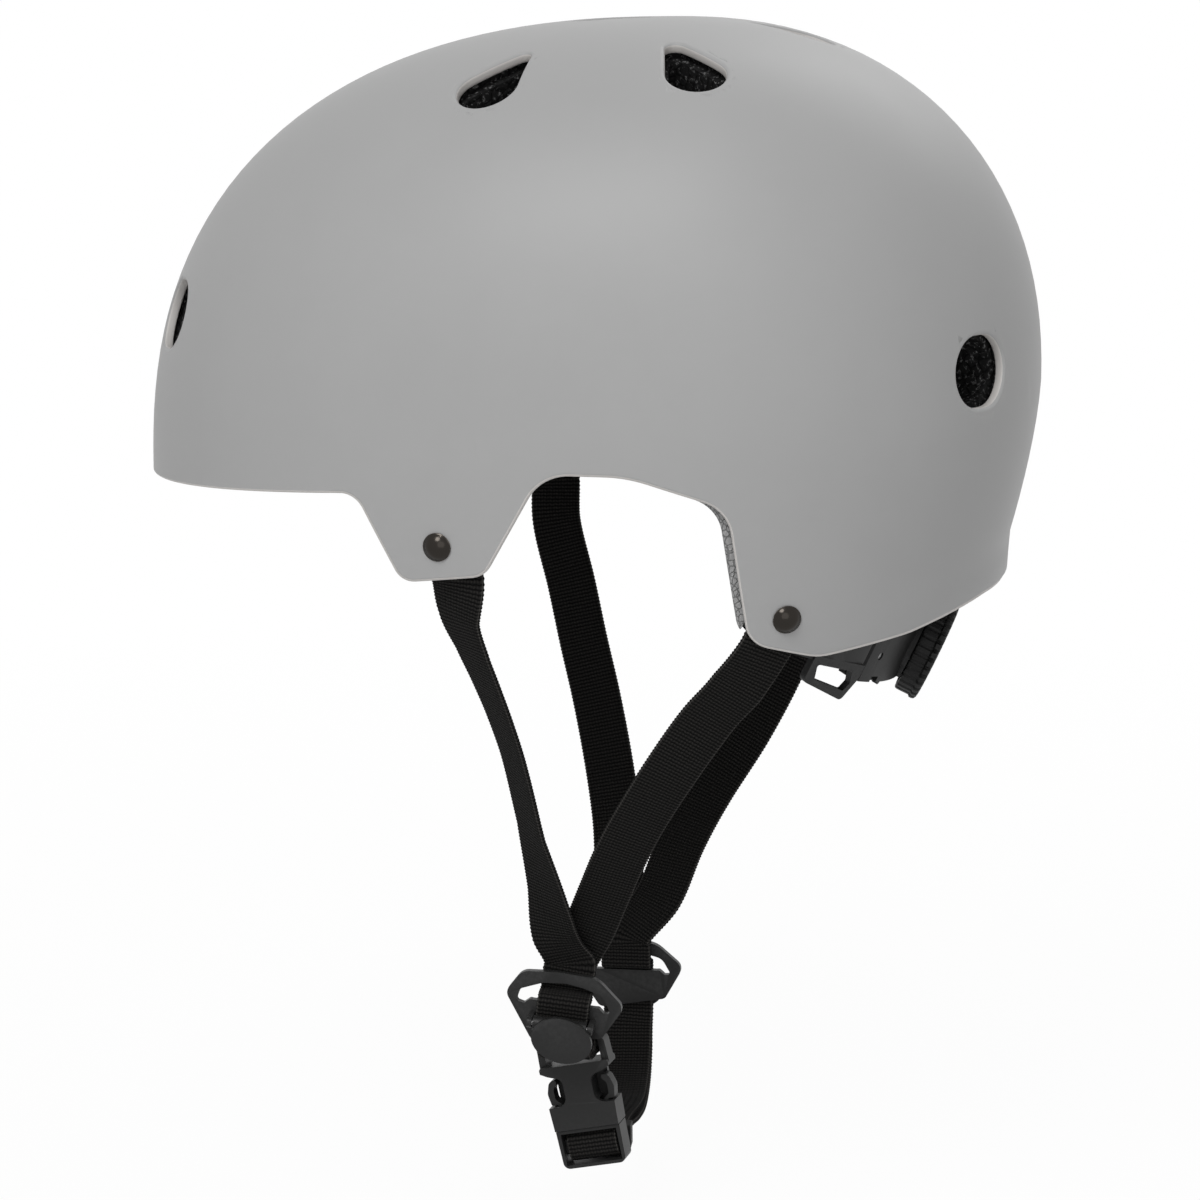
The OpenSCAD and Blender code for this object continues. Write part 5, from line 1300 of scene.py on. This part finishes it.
@dataclass(frozen=True)
class Harness:
    """The six webbing pieces, laid along the same stations as the solids."""

    width: float = 16.0
    thick: float = 1.5
    plate_t: float = 2.4
    left_plate: tuple[float, float, float] = (42, -4.6, -156.7)
    left_tilt: float = -6.0
    right_plate: tuple[float, float, float] = (-42, 4.2, -169.4)
    buckle_at: tuple[float, float, float] = (37.3, -2.3, -167.2)
    buckle_tilt: float = 12.5
    buckle_yaw: float = -8.0
    slot_low: float = 4.2
    slot_top: float = 10.0
    clamp_y: float = -1.5
    plate_low: float = -8.4
    bar_r: float = 1.2
    chin_bar: tuple[float, float, float] = (0, -30.6, -0.6)
    chin_bar_r: float = 1.0
    chin_bar_half: float = 1.5
    rib: float = 1.15
    shell_inside: float = 3.3
    strap_gap: float = 0.6
    end_heights: tuple[int, int, int] = (7, 0, -9)

    @property
    def near(self) -> float:
        """Middle of the layer next to a plate."""
        return self.plate_t / 2 + 0.25 + self.thick / 2

    @property
    def far(self) -> float:
        """Middle of the layer further out."""
        return self.near + self.thick + 0.3

    def on_left(self, p: Sequence[float]) -> Array:
        """Takes a place on the left plate to the helmet's frame."""
        return np.array(self.left_plate) + turned(p, self.left_tilt)

    def on_right(self, p: Sequence[float]) -> Array:
        """Takes a place on the right plate to the helmet's frame."""
        return np.array(self.right_plate) + turned(p, 0.0) * FLIP

    def on_buckle(self, p: Sequence[float]) -> Array:
        """Takes a place on the buckle to the helmet's frame."""
        return np.array(self.buckle_at) + yawed(turned(p, self.buckle_tilt), self.buckle_yaw)

    def rivet_end(self, spot: tuple[float, float], lean: float, side: float) -> list[Station]:
        """Returns a strap's end under its rivet, along the inside of the shell."""
        made = []
        depth = self.shell_inside + self.thick / 2 + self.strap_gap
        for h in self.end_heights:
            u = np.radians(spot[0] + lean * h)
            z = np.array(spot[1] + h)
            step = math.radians(1)
            wide = unit(DOME.skin(u + step, z) - DOME.skin(u - step, z))
            made.append((DOME.skin(u, z, depth), wide))
        return made if side > 0 else [(p * FLIP, w * FLIP) for p, w in made]

    @staticmethod
    def run(places: Sequence[tuple[Sequence[float], float]]) -> list[Station]:
        """Returns free stations from points and twists."""
        return [(np.array(p, float), np.array([math.sin(math.radians(t)), math.cos(math.radians(t)), 0.0]))
                for p, t in places]

    def front_pass(self) -> list[tuple[float, float]]:
        """Returns the front strap's way through a slot, as (up, outward)."""
        lo, top, near, far = self.slot_low, self.slot_top, self.near, self.far
        return [(top + 6, -near - 0.2), (top + 2.6, -near), (top - 1.2, -near), (lo + 3.3, -1.5),
                (lo + 2.85, -0.2), (lo + 2.65, 1.3), (lo + 2.15, 3), (lo + 0.6, far), (lo - 1.2, far),
                (self.clamp_y + 1.6, far), (self.clamp_y, far)]

    def rear_pass(self) -> list[tuple[float, float]]:
        """Returns the rear strap's way through a slot, below the front one."""
        lo, top, near, far = self.slot_low, self.slot_top, self.near, self.far
        return [(top + 6, -far - 1), (top + 2.6, -far - 0.4), (top - 0.6, -far), (lo + 3, -far + 0.2),
                (lo + 1.7, -far + 1.2), (lo + 1.1, -1.3), (lo + 1, 0), (lo + 0.95, 1),
                (lo + 0.35, near - 0.1), (lo - 1.2, near), (self.clamp_y + 1.6, near), (self.clamp_y, near)]

    def stations(self) -> dict[str, list[Station]]:
        """Returns every strap's stations by its node."""
        left_wide = turned((1, 0, 0), self.left_tilt)
        right_wide = turned((1, 0, 0), 0.0)
        made = {}
        for node, places in FREE_RUNS.items():
            left, front = node.startswith("left"), "front" in node
            spot, lean, ways = ((RIVET_SPOTS[0], -0.12, self.front_pass()) if front
                                else (RIVET_SPOTS[1], 0.26, self.rear_pass()))
            carry, wide = (self.on_left, left_wide) if left else (self.on_right, right_wide)
            made[node] = (self.rivet_end(spot, lean, 1 if left else -1) + self.run(places)
                          + [(carry((0, y, z)), wide) for y, z in ways])
        return {**made, "left_buckle_loop": self.loop(left_wide), "chin_strap": self.chin()}

    def loop(self, left_wide: Array) -> list[Station]:
        """Returns the short loop from the left plate round the buckle's bar."""
        wide = self.buckle_wide()
        halfway = unit(left_wide + wide)
        low, near, far, clamp = self.plate_low, self.near, self.far, self.clamp_y - 0.3
        down = [(0, clamp, far), (0, -4, far), (0.6, -6.8, far), (1.6, low - 0.7, far - 0.1),
                (2.5, low - 2.7, far - 1.2), (3, low - 3.4, 1)]
        up = [(2.9, low - 1.2, -0.6), (2.5, low - 1.45, 0.7), (1.5, low - 0.5, near - 0.2),
              (0.5, -6.2, near + 0.05), (0, -4, near), (0, clamp, near)]
        r = self.bar_r + self.thick / 2 + 0.5
        bar = [(self.on_buckle((0, r * math.sin(a), r * math.cos(a))), wide)
               for a in np.radians(np.arange(-60, -301, -30))]
        return ([(self.on_left(p), halfway if p[1] < low - 3 else left_wide) for p in down] + bar
                + [(self.on_left(p), halfway if p[2] < 0 else left_wide) for p in up])

    def buckle_wide(self) -> Array:
        """Returns the buckle's own rearward direction."""
        return yawed(turned((1, 0, 0), self.buckle_tilt), self.buckle_yaw)

    def chin(self) -> list[Station]:
        """Returns the chin strap: out under the chin, round the buckle's lower bar and back."""
        flat = np.array([0.0, 1.0, 0.0])
        heights = (self.clamp_y - 0.3, -6, -10)
        out = [(-46.2, 4, -185.5), (-43.8, 4.2, -192.5), (-36.5, 4.6, -199.3), (-22, 5, -203.5),
               (-4, 5.2, -202), (11, 5, -199.2), (23, 4.8, -197.6), (31.5, 4.6, -199.3)]
        back = [(31, 4.6, -196.3), (23, 4.8, -195.2), (11, 5, -196.2), (-4, 5.2, -198.4), (-20.5, 5, -199.6),
                (-33, 4.6, -195.4), (-39.6, 4.2, -189.5), (-43, 4, -184)]
        r = self.chin_bar_r + self.thick / 2 + 0.6
        bar = []
        for end, turns in ((-1, (-105, -70, -35, 0)), (1, (0, 35, 70, 105))):
            for a in np.radians(turns):
                round_bar = np.array([0, end * self.chin_bar_half + r * math.sin(a), r * math.cos(a)])
                bar.append((self.on_buckle(np.array(self.chin_bar) + round_bar), self.buckle_wide()))
        start = [(self.on_right((0, y, self.far)), flat) for y in heights]
        end = [(self.on_right((0, y, self.near)), flat) for y in heights[::-1]]
        return (start + [(np.array(p), flat) for p in out] + bar + [(np.array(p), flat) for p in back] + end)

    @staticmethod
    def curved(stations: Sequence[Station], steps: int = 24) -> tuple[Array, Array]:
        """Returns close points and width directions on one smooth curve through the stations."""
        points, wides = [], []
        n = len(stations)

        def knot(a: Array, b: Array) -> float:
            """Returns the spacing of two knots."""
            return max(0.01, math.sqrt(float(np.linalg.norm(b - a))))

        for i in range(n - 1):
            a, b = stations[max(i - 1, 0)][0], stations[i][0]
            c, d = stations[i + 1][0], stations[min(i + 2, n - 1)][0]
            ab, bc, cd = knot(a, b), knot(b, c), knot(c, d)
            start = bc * ((b - a) / ab - (c - a) / (ab + bc) + (c - b) / bc)
            end = bc * ((c - b) / bc - (d - b) / (bc + cd) + (d - c) / cd)
            for t in np.arange(steps) / steps:
                bow = 3 * (c - b) - 2 * start - end + t * (2 * (b - c) + start + end)
                points.append(b + t * (start + t * bow))
                wides.append(stations[i][1] * (1 - t) + stations[i + 1][1] * t)
        points.append(stations[-1][0])
        wides.append(stations[-1][1])
        return np.array(points), np.array(wides)

    def ribbon(self, name: str, stations: Sequence[Station]) -> Piece:
        """Returns one webbing piece with ribs along it and a rounded, scalloped selvedge."""
        points, wides = self.curved(stations)
        far = travel(points)
        even = np.arange(0, far[-1], self.rib / 3)
        points, wides = resampled(points, far, even), resampled(wides, far, even)
        kernel = np.array([1, 2, 3, 2, 1]) / 9
        inside = np.stack([np.convolve(points[:, k], kernel, "same") for k in range(3)], 1)
        points[3:-3] = inside[3:-3]
        along = unit(np.gradient(points, axis=0))
        wides = unit(wides - np.sum(wides * along, axis=1, keepdims=True) * along)
        out = np.cross(along, wides)
        w, h = self.width / 2, self.thick / 2
        edge = [(-w, 0.0), (-w + 0.16, 0.62 * h), (-w + 0.7, h), (-w / 2, h)]
        upper = edge + [(0, h)] + [(-x, z) for x, z in edge[::-1]]
        section = upper + [(x, -z) for x, z in upper[-2:0:-1]]
        wave = np.array([1.0, 0.45, 0.45])[np.arange(len(even)) % 3]
        rows = []
        for x, z in section:
            pull = 1 - (1 - wave) * (0.045 if abs(x) > w - 0.3 else 0.0)
            press = 1 - (1 - wave) * 0.3
            rows.append(points + wides * (x * pull)[:, None] + out * (z * press)[:, None])
        grid = np.stack(rows, 1)
        n, m = grid.shape[:2]
        body = Body()
        body.add(grid.reshape(-1, 3), grid_faces(n, m, closed=True)
                 + [tuple(range(m - 1, -1, -1)), tuple((n - 1) * m + k for k in range(m))])
        mesh = body.mesh(name)
        layer = mesh.uv_layers.new(name="weave")
        loops = np.empty(len(mesh.loops), int)
        mesh.loops.foreach_get("vertex_index", loops)
        side = np.array([x for x, _ in section])
        uv = np.stack([even[loops // m], side[loops % m] + WEAVE_MIDDLE], 1) * MM
        layer.data.foreach_set("uv", uv.astype(np.float32).ravel())
        tidy_normals(mesh)
        mesh.set_sharp_from_angle(angle=math.radians(80))
        return show(mesh, [Look.WEBBING])

    def make(self) -> list[Piece]:
        """Returns all webbing pieces."""
        made = []
        for node, stations in self.stations().items():
            piece = self.ribbon(node.replace("strap", "webbing").replace("loop", "webbing"), stations)
            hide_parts(node)
            if node == "chin_strap":
                start, end = Vector((-0.036, 0.005, -0.2)), Vector((0.03, 0.005, -0.198))
                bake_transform(piece, "helmet", "male_half", start=start, end=end)
            else:
                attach(piece, "helmet")
            made.append(piece)
        return made


# Hardware


@dataclass(frozen=True)
class Rivets:
    """Four domed caps with a rolled foot, and their posts."""

    radius: float = 4.1
    height: float = 2.2
    post_r: float = 1.6
    post_deep: float = 6.9
    dome_steps: int = 14

    def make(self) -> Piece:
        """Returns the rivets as one piece."""
        ball = (self.radius**2 + self.height**2) / (2 * self.height)
        profile = [(0.0, -self.post_deep), (self.post_r, -self.post_deep), (self.post_r, 0.05),
                   (self.radius - 0.5, 0.1), (self.radius - 0.12, 0.16), (self.radius, 0.34)]
        reach = math.asin((self.radius - 0.06) / ball)
        for k in range(1, self.dome_steps + 1):
            a = reach * (1 - k / self.dome_steps)
            profile.append((ball * math.sin(a), 0.1 + self.height - ball + ball * math.cos(a)))
        points, faces = lathe(profile, 48)
        body = Body()
        for frame in rivet_frames():
            for matrix in (frame, flipped(frame)):
                body.add(moved(points, matrix), faces)
        mesh = body.mesh("domed_rivets")
        tidy_normals(mesh, merge=1e-6)
        piece = show(mesh, [Look.RIVET])
        mesh.set_sharp_from_angle(angle=math.radians(50))
        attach(piece, "helmet")
        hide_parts("rivet_caps")
        return piece


@dataclass(frozen=True)
class DialGrip:
    """The dial wheel: ribbed side band, scalloped rear edge, hollow back and a cap seat."""

    radius: float = 16.0
    thick: float = 7.0
    notches: int = 34
    stand: float = 82.55

    def make(self) -> Piece:
        """Returns the wheel."""
        r, t = self.radius, self.thick
        hub = [(3.03, 3.2), (3.03, 0.0), (5.8, 0.0), (6.0, 0.2), (6.0, 3.4)]
        hollow = [(13.4, 3.4), (13.6, 3.2), (13.6, 0.2), (13.8, 0.0), (14.9, 0.0)]
        side = [(15.2, 0.2), (15.35, 0.7), (15.4, 1.8), (15.4, 3.4), (15.4, 4.5), (15.6, 4.75)]
        edge = [(r, 5.1), (r, 5.9), (15.8, 6.5), (15.2, 6.9), (14.6, t), (13.6, 6.9), (12.8, 6.75)]
        seat = [(9.4, 6.75), (9.1, 6.6), (9.06, 5.92), (3.2, 5.92), (3.2, 4.6)]
        bore = [(1.32, 4.6), (1.32, 3.2), (3.03, 3.2)]
        count = self.notches

        def wave(angle: Array, at: float, z: float) -> Array:
            """Cuts the ribs and scallops into the rim."""
            if at < 14:
                return np.full(len(angle), at)
            phase = (angle * count / (2 * math.pi)) % 1
            dip = np.maximum(0, np.cos((phase - 0.5) * 2 * math.pi)) ** 0.8
            deep = 0.85 if z > 4.6 else 0.4
            if z > 6.8:
                deep = 0.6
            return at - deep * dip

        points, faces = lathe(hub + hollow + side + edge + seat + bore, count * 8, wave)
        place = RING @ turn("Z", 90) @ shift(self.stand, 0, 0) @ turn("Y", 90)
        body = Body()
        body.add(moved(points, place), faces)
        mesh = body.mesh("dial_grip")
        tidy_normals(mesh, merge=1e-6)
        piece = show(mesh, [Look.DIAL])
        mesh.set_sharp_from_angle(angle=math.radians(38))
        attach(piece, "dial")
        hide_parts("dial_wheel")
        return piece


@dataclass(frozen=True)
class Softened:
    """A moulded part whose edges are rounded over from its solid."""

    node: str
    name: str
    look: Look
    slot: str
    width: float = 0.4
    angle: float = 32.0
    segments: int = 3
    weld: float = 2e-6
    flat_within: float = 1.5

    def make(self, nodes: dict[str, Piece]) -> Piece:
        """Returns the rounded piece."""
        source = nodes[self.node]
        mesh = source.data.copy()
        mesh.name = self.name
        work = bmesh.new()
        work.from_mesh(mesh)
        bmesh.ops.remove_doubles(work, verts=work.verts, dist=self.weld)
        flat = math.radians(self.flat_within)
        bmesh.ops.dissolve_limit(work, angle_limit=flat, verts=work.verts, edges=work.edges)
        bmesh.ops.recalc_face_normals(work, faces=work.faces)
        work.to_mesh(mesh)
        work.free()
        for layer in list(mesh.attributes):
            if layer.name == "custom_normal":
                mesh.attributes.remove(layer)
        piece = show(mesh, [self.look])
        mesh.polygons.foreach_set("material_index", [0] * len(mesh.polygons))
        mesh.polygons.foreach_set("use_smooth", [True] * len(mesh.polygons))
        bevel = piece.modifiers.new("edges", "BEVEL")
        bevel.width = self.width * MM
        bevel.segments = self.segments
        bevel.limit_method = "ANGLE"
        bevel.angle_limit = math.radians(self.angle)
        bevel.use_clamp_overlap = True
        bevel.miter_outer = "MITER_ARC"
        weigh = piece.modifiers.new("flats", "WEIGHTED_NORMAL")
        weigh.keep_sharp = True
        applied(piece)
        piece.data.name = self.name
        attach(piece, source["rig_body"])
        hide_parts(self.node)
        return piece


def pair(node: str, name: str, width: float) -> tuple[Softened, Softened]:
    """Returns the same plastic part for the left and the right."""
    return (Softened(f"left_{node}", f"left_{name}", Look.PLASTIC, "plastic", width),
            Softened(f"right_{node}", f"right_{name}", Look.PLASTIC, "plastic", width))


SOFTENED = (
    *pair("divider", "slot_plate", 0.7),
    *pair("cam_lever", "cam_lock", 0.6),
    Softened("buckle_female", "buckle_socket", Look.PLASTIC, "plastic", 0.65),
    Softened("buckle_male", "buckle_tongue", Look.PLASTIC, "plastic", 0.55),
    Softened("buckle_front_prong", "front_spring_arm", Look.PLASTIC, "plastic", 0.45),
    Softened("buckle_rear_prong", "rear_spring_arm", Look.PLASTIC, "plastic", 0.45),
    Softened("strap_keeper", "rubber_keeper", Look.RUBBER, "webbing", 0.4),
    Softened("cradle_cover", "gear_cover", Look.DIAL, "plastic", 0.4),
    Softened("cradle_base", "gear_base", Look.PLASTIC, "plastic", 0.4),
    *pair("cradle_arm", "arm_loop", 0.4),
    Softened("dial_cap", "dial_badge_cap", Look.DIAL, "dial", 0.25),
)
KEPT = {
    "hook_dots": Look.HOOK, "rivet_washers": Look.RIVET, "left_cam_pin": Look.STEEL,
    "right_cam_pin": Look.STEEL, "cradle_screws": Look.STEEL, "left_band": Look.PLASTIC,
    "right_band": Look.PLASTIC, "left_anchor_pin": Look.PLASTIC, "right_anchor_pin": Look.PLASTIC,
    "dial_pinion": Look.STEEL, "dial_screw": Look.STEEL, "detent_spring": Look.STEEL,
}


def finish_kept(nodes: dict[str, Piece]) -> None:
    """Gives the solids that stay their finishes."""
    for name, look in KEPT.items():
        node = nodes[name]
        node.data.materials.clear()
        node.data.materials.append(look.value.material())


# Studio


@dataclass(frozen=True)
class Lamp:
    """One soft round area light, in metres and watts."""

    name: str
    at: tuple[float, float, float]
    size: float
    watts: float


@dataclass(frozen=True)
class Studio:
    """Camera, pale floor, world and soft lights.

    Angles are in degrees, the camera's lengths in millimetres and the floor's in metres.
    """

    azimuth: float = 97.5
    elevation: float = 10.5
    distance: float = 1200.0
    target: tuple[float, float, float] = (0.0, 0.9, -38.0)
    frame_mm: float = 363.6
    slide_room: float = 0.024
    sensor: float = 36.0
    floor_half: float = 6.0
    ambient: float = 0.4
    lamps: tuple[Lamp, ...] = (
        Lamp("key_light", (1.38, -0.36, 1.38), 0.9, 18.0), Lamp("fill_light", (1.7, 0.4, 0.27), 1.4, 4.5),
        Lamp("back_light", (-1.2, 0.6, 1.2), 1.2, 7.0), Lamp("spark_light", (0.9, 0.1, 1.7), 0.2, 2.5),
    )

    def camera(self) -> None:
        """Adds the camera at the photograph's viewing angle."""
        a, e = math.radians(self.azimuth), math.radians(self.elevation)
        back = Vector((math.sin(a) * math.cos(e), -math.cos(a) * math.cos(e), math.sin(e)))
        data = bpy.data.cameras.new("camera")
        data.sensor_width = self.sensor
        data.lens = self.sensor * self.distance / self.frame_mm
        data.clip_start, data.clip_end = 0.05, 50.0
        camera = bpy.data.objects.new("camera", data)
        camera.location = (Vector(self.target) + back * self.distance) * MM
        camera.rotation_euler = back.to_track_quat("Z", "Y").to_euler()
        bpy.context.scene.collection.objects.link(camera)
        bpy.context.scene.camera = camera

    @staticmethod
    def seen_by(tree: Tree, *rays: str) -> Socket:
        """Returns 1 for the given kinds of ray and 0 for the rest."""
        path = tree.node("ShaderNodeLightPath").outputs
        total = path[rays[0]]
        for ray in rays[1:]:
            total = tree.maths("ADD", total, path[ray], True)
        return total

    def floor(self, height: float) -> None:
        """Adds the pale floor, which keeps a soft shadow."""
        mesh = bpy.data.meshes.new("floor")
        side = self.floor_half
        corners = [(x * side, y * side, height) for x, y in ((-1, -1), (1, -1), (1, 1), (-1, 1))]
        mesh.from_pydata(corners, [], [(0, 1, 2, 3)])
        made = bpy.data.materials.new("pale_floor")
        made.use_nodes = True
        tree = Tree(made.node_tree)
        shader = made.node_tree.nodes["Principled BSDF"]
        shader.inputs["Roughness"].default_value = 0.9
        place = tree.node("ShaderNodeTexCoord").outputs["Object"]
        tone = tree.span(tree.noise(place, 3.0), 0.3, 0.7, 0.0, 1.0)
        tree.feed(shader.inputs["Base Color"], tree.blend(tone, (0.8, 0.8, 0.8, 1), (0.82, 0.82, 0.82, 1)))
        glow = tree.node("ShaderNodeEmission")
        tree.feed(glow.inputs["Strength"], 1.0)
        mix = tree.node("ShaderNodeMixShader")
        direct = self.seen_by(tree, "Is Camera Ray", "Is Glossy Ray")
        away = tree.node("ShaderNodeVectorMath", operation="LENGTH")
        tree.feed(away.inputs[0], place)
        share = tree.span(away.outputs["Value"], 0.2, 1.0, 0.95, 1.0)
        tree.feed(mix.inputs[0], tree.maths("MULTIPLY", direct, share))
        tree.feed(mix.inputs[1], shader.outputs[0])
        tree.feed(mix.inputs[2], glow.outputs[0])
        out = made.node_tree.nodes["Material Output"]
        tree.feed(out.inputs["Surface"], mix.outputs[0])
        floor = bpy.data.objects.new("floor", mesh)
        mesh.materials.append(made)
        bpy.context.scene.collection.objects.link(floor)
        floor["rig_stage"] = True

    def world(self) -> None:
        """Lights the surroundings evenly, and shows them white."""
        world = bpy.data.worlds.new("studio")
        bpy.context.scene.world = world
        world.use_nodes = True
        tree = Tree(world.node_tree)
        shader = world.node_tree.nodes["Background"]
        rays = self.seen_by(tree, "Is Camera Ray", "Is Glossy Ray", "Is Transmission Ray")
        tree.feed(shader.inputs["Color"], (1.0, 1.0, 1.0, 1.0))
        tree.feed(shader.inputs["Strength"], tree.span(rays, 0.0, 1.0, self.ambient, 1.0))

    @staticmethod
    def light(given: Lamp) -> None:
        """Adds one lamp aimed at the helmet."""
        data = bpy.data.lights.new(given.name, "AREA")
        data.shape = "DISK"
        data.size = given.size
        data.energy = given.watts
        lamp = bpy.data.objects.new(given.name, data)
        lamp.location = given.at
        aim = Vector(given.at) - Vector((0, 0.02, 0.0))
        lamp.rotation_euler = aim.to_track_quat("Z", "Y").to_euler()
        bpy.context.scene.collection.objects.link(lamp)

    def make(self, lowest: float) -> None:
        """Builds the studio, with the floor below the buckle half when it is slid out."""
        self.camera()
        self.floor(lowest - self.slide_room)
        self.world()
        for lamp in self.lamps:
            self.light(lamp)
        bpy.context.scene.view_settings.view_transform = "Standard"


def main() -> None:
    """Loads the frame and dresses the helmet, one sub-assembly after the other."""
    logging.basicConfig(level=logging.INFO, format="%(name)s: %(message)s")
    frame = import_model()
    nodes = frame["nodes"]
    cad_box = [list(v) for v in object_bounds()]
    Studio().make(float(cad_box[0][2]))
    pieces = [ShellMaker().make(), LinerMaker().make()]
    pieces += [cushion.make() for cushion in CUSHIONS]
    pieces += Harness().make()
    pieces += [Rivets().make(), DialGrip().make()]
    pieces += [part.make(nodes) for part in SOFTENED]
    finish_kept(nodes)
    for piece in pieces:
        LOG.info("%s: %d points", piece.name, len(piece.data.vertices))


if __name__ == "__main__":
    main()
